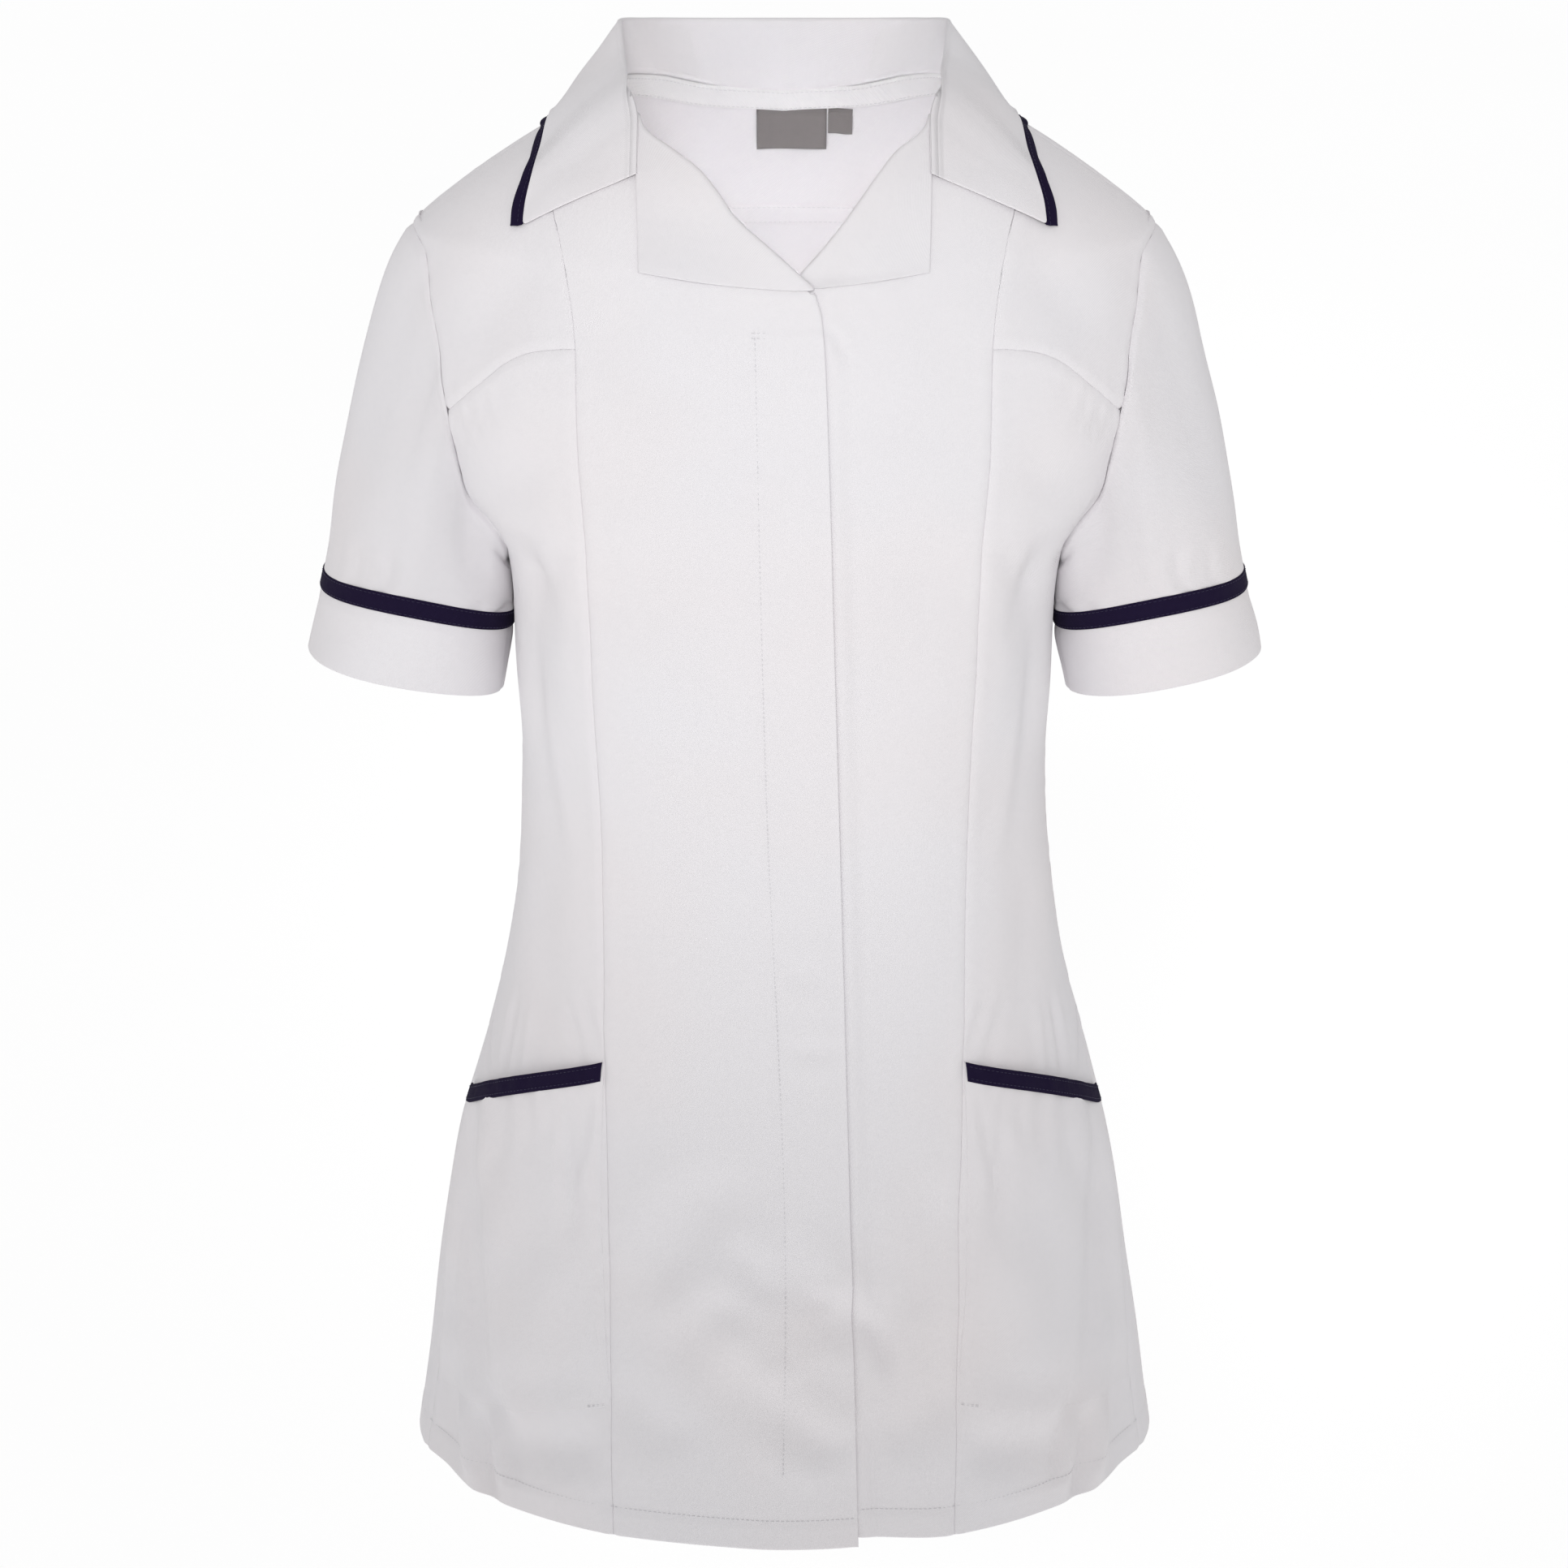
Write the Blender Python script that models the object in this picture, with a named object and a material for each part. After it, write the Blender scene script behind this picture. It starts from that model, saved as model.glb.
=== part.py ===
"""A women's short-sleeved work tunic, in the shape it has when worn, with no wearer.

Metres, +Z up. The front faces -Y and the wearer's left is +X. The origin is in the middle of the neck, level with
the highest points of the shoulders, which is where the wearer carries the garment. Each piece that a maker cuts is
one object: a sheet of cloth laid on the worn form, with its own thickness and edges.
"""

import math
from collections import namedtuple

import bpy
import numpy as np

# Cloth and seams
CLOTH = 0.0014
TRIM_CLOTH = 0.0012
TAPE_CLOTH = 0.0010
SEAM_GAP = 0.0004
LAYER_GAP = 0.0006
LAYER = CLOTH + LAYER_GAP
TRIM_LAYER = TRIM_CLOTH + LAYER_GAP
INSIDE = CLOTH + 0.0009

# Colours in linear RGB, and finish
WHITE = (0.82, 0.81, 0.82)
NAVY = (0.011, 0.0075, 0.022)
GREY = (0.24, 0.22, 0.22)
CLOTH_ROUGHNESS = 0.85

# Heights that seams and edges share
NECK_SIDE = -0.004
SHOULDER_TIP = -0.074
YOKE_SEAM = -0.094
UNDERARM = -0.240
HEM = -0.716
PRINCESS_TOP = -0.026
BUST_SEAM_AT_PRINCESS = -0.1113
BUST_SEAM_AT_ARMHOLE = -0.1504

# The worn form, one row for each level. Each section is a rounded curve, and square is how full its corners are.
Level = namedtuple("Level", "height half_width front back front_square back_square")
LEVELS = [
    Level(0.010, 0.066, 0.054, 0.050, 2.0, 2.0),
    Level(0.000, 0.080, 0.060, 0.056, 2.0, 2.0),
    Level(-0.010, 0.0935, 0.066, 0.063, 2.0, 2.0),
    Level(-0.0245, 0.1135, 0.074, 0.072, 2.0, 2.0),
    Level(-0.0356, 0.1311, 0.080, 0.077, 2.0, 2.0),
    Level(-0.0516, 0.1545, 0.088, 0.083, 1.95, 1.95),
    Level(-0.0677, 0.1745, 0.095, 0.088, 1.9, 1.9),
    Level(-0.0740, 0.1800, 0.0975, 0.090, 1.9, 1.9),
    Level(-0.0850, 0.1812, 0.101, 0.093, 1.95, 1.95),
    Level(-0.1060, 0.1830, 0.108, 0.098, 2.05, 2.05),
    Level(-0.1300, 0.1830, 0.1155, 0.103, 2.15, 2.15),
    Level(-0.1540, 0.1790, 0.1215, 0.106, 2.2, 2.2),
    Level(-0.1740, 0.1708, 0.126, 0.1075, 2.25, 2.22),
    Level(-0.1940, 0.1625, 0.1295, 0.108, 2.3, 2.3),
    Level(-0.2094, 0.1492, 0.131, 0.108, 2.4, 2.35),
    Level(-0.2180, 0.1422, 0.132, 0.1075, 2.5, 2.4),
    Level(-0.2277, 0.1370, 0.133, 0.107, 2.55, 2.45),
    Level(-0.2400, 0.1348, 0.1336, 0.106, 2.65, 2.5),
    Level(-0.2550, 0.1334, 0.134, 0.104, 2.7, 2.5),
    Level(-0.2920, 0.1327, 0.130, 0.098, 2.65, 2.45),
    Level(-0.3350, 0.1308, 0.121, 0.090, 2.5, 2.35),
    Level(-0.3690, 0.1316, 0.115, 0.086, 2.4, 2.3),
    Level(-0.4040, 0.1340, 0.112, 0.086, 2.35, 2.3),
    Level(-0.4390, 0.1387, 0.113, 0.091, 2.3, 2.3),
    Level(-0.4750, 0.1463, 0.117, 0.101, 2.25, 2.25),
    Level(-0.5110, 0.1561, 0.122, 0.112, 2.2, 2.2),
    Level(-0.5470, 0.1655, 0.127, 0.121, 2.15, 2.15),
    Level(-0.5830, 0.1719, 0.132, 0.128, 2.1, 2.1),
    Level(-0.6390, 0.1800, 0.139, 0.135, 2.05, 2.05),
    Level(-0.7160, 0.1905, 0.149, 0.143, 2.0, 2.0),
]

# The armhole, as a share of the form's half width at each height
Armhole = namedtuple("Armhole", "height front_share back_share")
ARMHOLE = [
    Armhole(-0.0740, 1.000, 1.000),
    Armhole(-0.0760, 0.985, 0.988),
    Armhole(-0.0812, 0.956, 0.965),
    Armhole(-0.1041, 0.927, 0.935),
    Armhole(-0.1296, 0.903, 0.920),
    Armhole(-0.1529, 0.902, 0.920),
    Armhole(-0.1751, 0.924, 0.930),
    Armhole(-0.1936, 0.945, 0.950),
    Armhole(-0.2063, 0.962, 0.966),
    Armhole(-0.2182, 0.976, 0.979),
    Armhole(-0.2290, 0.989, 0.990),
    Armhole(-0.2360, 0.997, 0.997),
    Armhole(-0.2400, 1.000, 1.000),
]
ABOVE_BUST_STEPS = 6
BELOW_BUST_STEPS = 6
ABOVE_YOKE_STEPS = 4
BELOW_YOKE_STEPS = 8

# Long seams and edges, as the distance from the middle at each height
Across = namedtuple("Across", "height x")
PRINCESS = [
    Across(-0.0260, 0.1158),
    Across(-0.0545, 0.1089),
    Across(-0.0647, 0.1057),
    Across(-0.1113, 0.0986),
    Across(-0.1592, 0.0975),
    Across(-0.2055, 0.0940),
    Across(-0.2964, 0.0908),
    Across(-0.3776, 0.0888),
    Across(-0.4741, 0.0888),
    Across(-0.5513, 0.0878),
    Across(-0.6519, 0.0871),
    Across(-0.7160, 0.0857),
]
BUST_SEAM = [
    Across(-0.1113, 0.0986),
    Across(-0.1120, 0.1056),
    Across(-0.1155, 0.1212),
    Across(-0.1220, 0.1331),
    Across(-0.1291, 0.1411),
    Across(-0.1392, 0.1513),
    Across(-0.1504, 0.1610),
]
FRONT_EDGE = [
    Across(-0.0808, 0.0142),
    Across(-0.0945, 0.0179),
    Across(-0.1216, 0.0198),
    Across(-0.2471, 0.0238),
    Across(-0.4631, 0.0302),
    Across(-0.7160, 0.0373),
]
# The fold of each revere, from the neck to the break. Distances are towards the revere's own side.
ROLL_RIGHT = [
    Across(-0.0035, 0.0712),
    Across(-0.0141, 0.0668),
    Across(-0.0222, 0.0523),
    Across(-0.0295, 0.0404),
    Across(-0.0387, 0.0316),
    Across(-0.0495, 0.0232),
    Across(-0.0619, 0.0080),
    Across(-0.0746, -0.0072),
    Across(-0.0808, -0.0142),
]
ROLL_LEFT = [
    Across(-0.0035, 0.0712),
    Across(-0.0143, 0.0672),
    Across(-0.0228, 0.0535),
    Across(-0.0318, 0.0447),
    Across(-0.0455, 0.0337),
    Across(-0.0610, 0.0205),
    Across(-0.0729, 0.0090),
    Across(-0.0975, -0.0158),
]
SIDE_SEAM = [
    Across(-0.2400, 1.000),
    Across(-0.4600, 0.990),
    Across(-0.5300, 0.960),
    Across(-0.6000, 0.935),
    Across(-0.7160, 0.915),
]
# The back neck, by the angle from the side of the neck to the nape
NeckPoint = namedtuple("NeckPoint", "angle height x")
BACK_NECK = [
    NeckPoint(0.0, -0.0040, 0.0862),
    NeckPoint(22.5, -0.0063, 0.0790),
    NeckPoint(45.0, -0.0117, 0.0605),
    NeckPoint(67.5, -0.0208, 0.0327),
    NeckPoint(90.0, -0.0245, 0.0),
]

# The front overlap: how wide, and how far each front leaves the form there
UNDERLAP = 0.030
LAP_LIFT = 0.0011
LAP_SINK = 0.0012
LAP_BLEND = 0.028
LAP_MARGIN = 0.012
LEFT_HEM_RISE = 0.0045
ROLL_NOSE = 0.0026

# Reveres, where their lower and outer edges run
REVERE_SIDE = [
    Across(-0.0110, 0.0708),
    Across(-0.0326, 0.0694),
    Across(-0.0734, 0.0685),
]
REVERE_TOP = -0.0090
REVERE_LOWER = [
    Across(-0.0734, 0.0685),
    Across(-0.0777, 0.0365),
    Across(-0.0807, 0.0099),
    Across(-0.0815, -0.0072),
    Across(-0.0814, -0.0142),
]
LEFT_REVERE_END = Across(-0.0735, 0.0145)
LEFT_REVERE_TIP = Across(-0.0790, 0.0178)

# Pockets and trims
TRIM_WIDTH = 0.0100
POCKET_TOP = [Across(-0.4741, 0.0), Across(-0.4893, 0.45), Across(-0.5096, 0.80), Across(-0.5223, 1.0)]
POCKET_BOTTOM = [Across(-0.6497, 0.0), Across(-0.6584, 0.25), Across(-0.6678, 0.55), Across(-0.6760, 1.0)]
POCKET_EASE = 0.0030

# Sleeves: the ring at the top of the trim and the ring at the hem
Ring = namedtuple("Ring", "x y z half_width half_depth lean front_rise")
TRIM_RING = Ring(0.18275, -0.0040, -0.26065, 0.0479, 0.0455, 12.5, 0.0068)
HEM_RING = Ring(0.18825, -0.0040, -0.29655, 0.0488, 0.0460, 8.25, 0.0)
SLEEVE_ROWS = 9
SLEEVE_GAP = 0.0008
SLEEVE_PULL = 0.58
SLEEVE_CLEAR = 0.0009
CUFF_SEAM = 0.24
# The way the sleeve's cloth leaves the armhole. turn is 0 at the top, 0.25 behind, 0.5 underneath and 0.75 in front.
Leaving = namedtuple("Leaving", "turn x y z")
LEAVINGS = [
    Leaving(0.00, 0.70, 0.00, -0.71),
    Leaving(0.12, 0.58, 0.22, -0.78),
    Leaving(0.30, 0.30, 0.22, -0.92),
    Leaving(0.42, 0.10, 0.02, -1.00),
    Leaving(0.50, 0.03, 0.00, -1.00),
    Leaving(0.58, 0.10, -0.02, -1.00),
    Leaving(0.70, 0.30, -0.22, -0.92),
    Leaving(0.88, 0.58, -0.22, -0.78),
    Leaving(1.00, 0.70, 0.00, -0.71),
]

# The collar from centre back to the notch: where it is sewn, the top of its fold, its outer edge, and how far it is
# folded, from 1 at the stand to 0 where it lies flat beside the revere
Station = namedtuple("Station", "neck fold edge folded")
STATIONS = [
    Station((0.0000, 0.0704, -0.0235), (0.0000, 0.0790, 0.0104), (0.0000, 0.0860, -0.0460), 1.0),
    Station((0.0322, 0.0650, -0.0198), (0.0400, 0.0745, 0.0114), (0.0480, 0.0800, -0.0435), 1.0),
    Station((0.0595, 0.0496, -0.0107), (0.0680, 0.0570, 0.0152), (0.0850, 0.0640, -0.0385), 1.0),
    Station((0.0776, 0.0268, -0.0052), (0.0795, 0.0310, 0.0195), (0.1085, 0.0345, -0.0290), 1.0),
    Station((0.0840, 0.0000, -0.0027), (0.0760, 0.0040, 0.0095), (0.1150, -0.0040, -0.0245), 1.0),
    Station((0.0817, -0.0148, -0.0027), (0.0742, -0.0110, 0.0042), (0.1185, -0.0330, -0.0345), 0.9),
    Station((0.0738, -0.0338, -0.0002), (0.0738, -0.0290, 0.0008), (0.1216, -0.0466, -0.0439), 0.3),
    Station((0.0730, -0.0490, -0.0150), (0.0775, -0.0490, -0.0165), (0.1239, -0.0560, -0.0522), 0.0),
    Station((0.0706, -0.0668, -0.0322), (0.0750, -0.0668, -0.0340), (0.1235, -0.0620, -0.0575), 0.0),
]
COLLAR_STEPS = 18
FOLD_RADIUS = 0.0028
FOLD_ANGLES = (-90, -45, 0, 45, 90)
FALL_SHARES = (0.12, 0.30, 0.50, 0.70, 0.86, 1.0)
FLAT_SHARES = (0.0, 0.02, 0.04, 0.06, 0.08, 0.10, 0.12)
COLLAR_CLEAR = 0.0026
COLLAR_EDGE_CLEAR = 0.0042
COLLAR_BOW = 0.0032
COLLAR_TRIM_GAP = 0.0010
COLLAR_TRIM_SHOWN = 0.0050
COLLAR_TRIM_UNDER = 0.0056

# Inside the back neck, sizes across and down
TAPE_DEPTH = 0.0101
YOKE_TAPE_DEPTH = 0.0102
YOKE_TAPE_BELOW = 0.0035
TAPE_TURN = 1.16
Patch = namedtuple("Patch", "x width top depth")
MAIN_LABEL = Patch(0.0038, 0.0350, -0.0354, 0.0205)
SIZE_TAB = Patch(0.0282, 0.0122, -0.0354, 0.0118)

# Largest folds, as ridges (+) and troughs (-) of the worn form
Fold = namedtuple("Fold", "turn height lean half_width reach depth")
FOLDS = [
    Fold(0.79, -0.690, 0.02, 0.070, 0.080, -0.0040),
    Fold(-0.79, -0.690, -0.02, 0.070, 0.080, -0.0040),
    Fold(0.30, -0.620, 0.10, 0.130, 0.110, -0.0022),
    Fold(-0.34, -0.600, -0.12, 0.140, 0.120, -0.0025),
    Fold(0.66, -0.330, 0.05, 0.110, 0.100, -0.0020),
    Fold(-0.66, -0.330, -0.05, 0.110, 0.100, -0.0020),
    Fold(1.45, -0.640, 0.05, 0.100, 0.130, 0.0045),
    Fold(-1.45, -0.640, -0.05, 0.100, 0.130, 0.0045),
    Fold(1.72, -0.660, 0.00, 0.090, 0.110, -0.0040),
    Fold(-1.72, -0.660, 0.00, 0.090, 0.110, -0.0040),
    Fold(1.60, -0.360, 0.20, 0.130, 0.060, -0.0030),
    Fold(-1.60, -0.360, -0.20, 0.130, 0.060, -0.0030),
]

LONG_ROWS = 18
ROW_GROWTH = 1.15
FRONT_COLUMNS = 10
BACK_COLUMNS = 22


class Track:
    """A smooth curve through one column of a table, with no overshoot between its rows."""

    def __init__(self, rows, column, at="height"):
        pairs = sorted((getattr(row, at), getattr(row, column)) for row in rows)
        self.at = np.array([pair[0] for pair in pairs])
        self.value = np.array([pair[1] for pair in pairs])
        gap = np.diff(self.at)
        slope = np.diff(self.value) / gap
        before, after = slope[:-1], slope[1:]
        same_way = before * after > 0
        total = np.where(same_way, before + after, 1.0)
        middle = np.where(same_way, 2 * before * after / total, 0.0)
        self.lean = np.concatenate([slope[:1], middle, slope[-1:]])

    def __call__(self, x):
        x = np.clip(np.asarray(x, float), self.at[0], self.at[-1])
        i = np.clip(np.searchsorted(self.at, x) - 1, 0, len(self.at) - 2)
        gap = self.at[i + 1] - self.at[i]
        t = (x - self.at[i]) / gap
        start = self.value[i] * (1 + 2 * t) * (1 - t) ** 2 + self.lean[i] * gap * t * (1 - t) ** 2
        end = self.value[i + 1] * t * t * (3 - 2 * t) - self.lean[i + 1] * gap * t * t * (1 - t)
        return start + end


HALF_WIDTH = Track(LEVELS, "half_width")
FRONT, FRONT_SQUARE = Track(LEVELS, "front"), Track(LEVELS, "front_square")
BACK, BACK_SQUARE = Track(LEVELS, "back"), Track(LEVELS, "back_square")
ARMHOLE_SHARE = {False: Track(ARMHOLE, "front_share"), True: Track(ARMHOLE, "back_share")}
PRINCESS_X = Track(PRINCESS, "x")
BUST_SEAM_X = Track(BUST_SEAM, "x")
FRONT_EDGE_X = Track(FRONT_EDGE, "x")
SIDE_SEAM_TURN = Track(SIDE_SEAM, "x")
QUARTER = np.linspace(0, math.pi / 2, 129)


def ease(t):
    """0 up to t = 0, 1 from t = 1, and smooth between."""
    t = np.clip(t, 0, 1)
    return t * t * (3 - 2 * t)


def section(height, back):
    """Half width, depth and squareness of the front or back half section at each height."""
    depth = np.where(back, BACK(height), FRONT(height))
    square = np.where(back, BACK_SQUARE(height), FRONT_SQUARE(height))
    return HALF_WIDTH(height), depth, square


def quarter_run(height, back):
    """The running length along a quarter of each section, from the middle to the side."""
    a, b, n = (value[..., None] for value in section(height, back))
    x = a * np.sin(QUARTER)
    y = b * np.clip(1 - np.sin(QUARTER) ** n, 0, 1) ** (1 / n)
    step = np.hypot(np.diff(x, axis=-1), np.diff(y, axis=-1))
    return np.concatenate([np.zeros_like(a), np.cumsum(step, axis=-1)], axis=-1)


def row_interp(want, known, value):
    """Like np.interp, for each row of known along the last axis."""
    i = np.clip((known < want[..., None]).sum(-1) - 1, 0, known.shape[-1] - 2)[..., None]
    low = np.take_along_axis(known, i, -1)[..., 0]
    high = np.take_along_axis(known, i + 1, -1)[..., 0]
    share = np.clip((want - low) / np.maximum(high - low, 1e-12), 0, 1)
    values = np.broadcast_to(value, known.shape)
    first = np.take_along_axis(values, i, -1)[..., 0]
    second = np.take_along_axis(values, i + 1, -1)[..., 0]
    return first + share * (second - first)


def form(turn, height):
    """Points on the worn form. turn runs evenly along the cloth: 0 at centre front, 1 at the wearer's left side, 2 at
    centre back, and 3 or -1 at the right side."""
    turn, height = np.broadcast_arrays(np.asarray(turn, float), np.asarray(height, float))
    turn = (turn + 2) % 4 - 2
    away = np.abs(turn)
    back = away > 1
    a, b, n = section(height, back)
    run = quarter_run(height, back)
    angle = row_interp(np.where(back, 2 - away, away) * run[..., -1], run, QUARTER)
    x = a * np.sin(angle) * np.sign(turn)
    y = b * np.clip(1 - np.sin(angle) ** n, 0, 1) ** (1 / n)
    return np.stack([x, np.where(back, y, -y), height], axis=-1)


def turn_at(x, height, back=False):
    """The turn of the point at distance x from the middle. A point over the middle has a negative turn."""
    x, height = np.broadcast_arrays(np.asarray(x, float), np.asarray(height, float))
    run = quarter_run(height, back)
    angle = np.arcsin(np.clip(np.abs(x) / HALF_WIDTH(height), 0, 1))
    share = np.interp(angle, QUARTER, np.arange(len(QUARTER)))
    low = np.clip(share.astype(int), 0, len(QUARTER) - 2)[..., None]
    first = np.take_along_axis(run, low, -1)[..., 0]
    second = np.take_along_axis(run, low + 1, -1)[..., 0]
    share = (first + (share - low[..., 0]) * (second - first)) / run[..., -1]
    return np.sign(x) * (2 - share if back else share)


def drape(turn, height):
    """How far the largest folds lift the cloth off the form."""
    lift = np.zeros(np.broadcast(turn, height).shape)
    for fold in FOLDS:
        line = fold.turn + fold.lean * (height - fold.height) / fold.reach
        beside = ((turn - line + 2) % 4 - 2) / fold.half_width
        along = (height - fold.height) / fold.reach
        lift = lift + fold.depth * np.exp(-(beside**2) - along**2)
    return lift


def on_form(turn, height, out=0.0):
    """Points on the draped cloth, moved out by a distance."""
    turn, height, out = np.broadcast_arrays(turn, height, out)
    step = 1e-4
    around = form(turn + step, height) - form(turn - step, height)
    up = form(turn, height + step) - form(turn, height - step)
    normal = np.cross(around, up)
    normal /= np.linalg.norm(normal, axis=-1, keepdims=True)
    return form(turn, height) + normal * (out + drape(turn, height))[..., None]


def distance_out(points):
    """How far points are from the form, and which way is out. It is good near the form."""

    def level(x, y, z):
        a, b, n = section(z, y > 0)
        return (np.abs(x) / a) ** n + (np.abs(y) / b) ** n - 1

    x, y, z = np.moveaxis(points, -1, 0)
    step = 1e-5
    slope = [
        level(x + step, y, z) - level(x - step, y, z),
        level(x, y + step, z) - level(x, y - step, z),
        level(x, y, z + step) - level(x, y, z - step),
    ]
    slope = np.stack(slope, axis=-1) / (2 * step)
    steep = np.linalg.norm(slope, axis=-1)
    return level(x, y, z) / steep, slope / steep[..., None]


def clear_of_form(points, clear):
    """The points, with any nearer the form than clear moved out to it."""
    for _ in range(3):
        distance, out = distance_out(points)
        points = points + out * np.maximum(clear - distance, 0)[..., None]
    return points


def laid_on_form(points, out):
    """The points, moved in or out until they are that far from the form."""
    for _ in range(3):
        distance, away = distance_out(points)
        points = points + away * (out - distance)[..., None]
    return points


def rows_of(*columns):
    return np.stack(np.broadcast_arrays(*columns), axis=-1).astype(float)


def spread(points, count):
    """The side's points again, evenly along it in count steps. One turn counts as much as 0.18 m of height."""
    points = np.asarray(points, float)
    scale = np.array([0.18, 1.0]) if points.shape[1] == 2 else 1.0
    run = np.concatenate([[0], np.cumsum(np.linalg.norm(np.diff(points * scale, axis=0), axis=1))])
    want = np.linspace(0, run[-1], count + 1)
    return np.stack([np.interp(want, run, column) for column in points.T], axis=-1)


def patch(top, bottom, first, last):
    """Points across a four-sided panel. Its sides are rows of points, which meet at the corners."""
    p = np.linspace(0, 1, len(top))[None, :, None]
    q = np.linspace(0, 1, len(first))[:, None, None]
    sides = (1 - p) * first[:, None] + p * last[:, None] + (1 - q) * top[None] + q * bottom[None]
    corners = (1 - p) * (1 - q) * top[0] + p * (1 - q) * top[-1] + (1 - p) * q * bottom[0] + p * q * bottom[-1]
    return sides - corners


def make_material(name, colour):
    made = bpy.data.materials.new(name)
    made.use_nodes = True
    shader = made.node_tree.nodes["Principled BSDF"]
    shader.inputs["Base Color"].default_value = (*colour, 1)
    shader.inputs["Roughness"].default_value = CLOTH_ROUGHNESS
    shader.inputs["Metallic"].default_value = 0
    return made


def sheet(name, outer, inner, colour, closed=False):
    """A cloth piece from rows of points on its outer face and the same rows on its inner face. closed joins the last
    column to the first."""
    rows, columns = outer.shape[:2]
    count = rows * columns
    last = columns if closed else columns - 1
    faces = []

    def corner(i, j):
        return i * columns + j % columns

    for i in range(rows - 1):
        for j in range(last):
            face = (corner(i, j), corner(i + 1, j), corner(i + 1, j + 1), corner(i, j + 1))
            faces += [face, tuple(k + count for k in reversed(face))]
    for j in range(last):
        for a, b in ((corner(0, j), corner(0, j + 1)), (corner(rows - 1, j + 1), corner(rows - 1, j))):
            faces.append((a, b, b + count, a + count))
    if not closed:
        for i in range(rows - 1):
            for a, b in ((corner(i + 1, 0), corner(i, 0)), (corner(i, columns - 1), corner(i + 1, columns - 1))):
                faces.append((a, b, b + count, a + count))
    mesh = bpy.data.meshes.new(name)
    mesh.from_pydata(np.concatenate([outer, inner]).reshape(-1, 3).tolist(), [], faces)
    mesh.materials.append(make_material(name + "_cloth", colour))
    mesh.shade_smooth()
    mesh.set_sharp_from_angle(angle=math.radians(50))
    piece = bpy.data.objects.new(name, mesh)
    bpy.context.scene.collection.objects.link(piece)


def laid(turn, height, out, thickness=CLOTH):
    """The outer and inner faces of cloth on the form, with its outer face moved out."""
    return on_form(turn, height, out), on_form(turn, height, out - thickness)


def free(outer, thickness=CLOTH, closed=False):
    """The outer and inner faces of cloth that hangs free of the form."""
    around = np.gradient(outer, axis=1)
    if closed:
        around = np.roll(outer, -1, axis=1) - np.roll(outer, 1, axis=1)
    normal = np.cross(np.gradient(outer, axis=0), around)
    normal /= np.linalg.norm(normal, axis=-1, keepdims=True)
    return outer, outer - normal * thickness


def mirrored(faces):
    """The same piece on the wearer's other side."""
    return tuple((points * np.array([-1, 1, 1]))[:, ::-1] for points in faces)


def pair(name, faces, colour, closed=False):
    """The piece on the wearer's left, and its mirror image on the right."""
    sheet(name + "_left", *faces, colour, closed)
    sheet(name + "_right", *mirrored(faces), colour, closed)


def seam_turn(height, back=False):
    """Half the seam gap, as a turn."""
    return SEAM_GAP / 2 / quarter_run(np.asarray(height, float), back)[..., -1]


def armhole_side(first, last, back=False):
    """The armhole from one step to another. Steps are close together where it runs level."""
    joint = YOKE_SEAM if back else BUST_SEAM_AT_ARMHOLE
    above = ABOVE_YOKE_STEPS if back else ABOVE_BUST_STEPS
    below = BELOW_YOKE_STEPS if back else BELOW_BUST_STEPS
    upper = np.linspace(0, math.pi / 2, above + 1)
    lower = np.linspace(0, math.pi / 2, below + 1)[1:]
    to_joint = SHOULDER_TIP + (joint - SHOULDER_TIP) * (1 - np.cos(upper))
    to_underarm = joint + (UNDERARM - joint) * np.sin(lower)
    height = np.concatenate([to_joint, to_underarm])[first : last + 1]
    return rows_of(turn_at(ARMHOLE_SHARE[back](height) * HALF_WIDTH(height), height, back), height)


def long_rows(top):
    """Heights from top to the hem, a little closer together near the top."""
    return top + (HEM - top) * np.linspace(0, 1, LONG_ROWS + 1) ** ROW_GROWTH


def upper_rows(top):
    """Heights from top to the bust seam, closer together where the princess seam leaves the shoulder."""
    share = 1 - np.cos(np.linspace(0, math.pi / 2, ABOVE_BUST_STEPS + 1))
    return top + (BUST_SEAM_AT_PRINCESS - top) * share


def princess_side(height, side):
    """The princess seam, half a seam gap to one side of it."""
    turn = turn_at(PRINCESS_X(height), height) + side * seam_turn(height)
    return rows_of(np.minimum(turn, 1 - seam_turn(height)), height)


def side_seam(side):
    height = long_rows(UNDERARM)
    return rows_of(SIDE_SEAM_TURN(height) + side * seam_turn(height), height)


def shoulder_side(top, bottom, count, side):
    height = np.linspace(top, bottom, count + 1)
    return rows_of(1 + side * seam_turn(height), height)


def bust_seam(count, side):
    height = np.linspace(BUST_SEAM_AT_PRINCESS, BUST_SEAM_AT_ARMHOLE, 40)
    line = spread(rows_of(turn_at(BUST_SEAM_X(height), height), height), count)
    line[:, 1] += side * SEAM_GAP / 2
    return line


def roll_line(right, nose=0.0):
    """The fold of a revere from the neck down, as distances from the middle, moved towards the panel by nose."""
    rows = ROLL_RIGHT if right else ROLL_LEFT
    x = Track(rows, "x")
    height = np.linspace(rows[0].height, rows[-1].height, 60)
    along = np.stack([np.gradient(x(height)), np.gradient(height)], axis=-1)
    along /= np.linalg.norm(along, axis=-1, keepdims=True)
    return rows_of(x(height) - along[:, 1] * nose, height + along[:, 0] * nose)


def lap_out(x, height, right):
    """How far a front leaves the form where the fronts overlap. x is towards the wearer's left."""
    beyond = x - FRONT_EDGE_X(height)
    if right:
        return LAP_LIFT * ease(1 + (beyond + UNDERLAP + LAP_MARGIN) / LAP_BLEND)
    return -LAP_SINK * ease(1 - (beyond - LAP_MARGIN) / LAP_BLEND)


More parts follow.
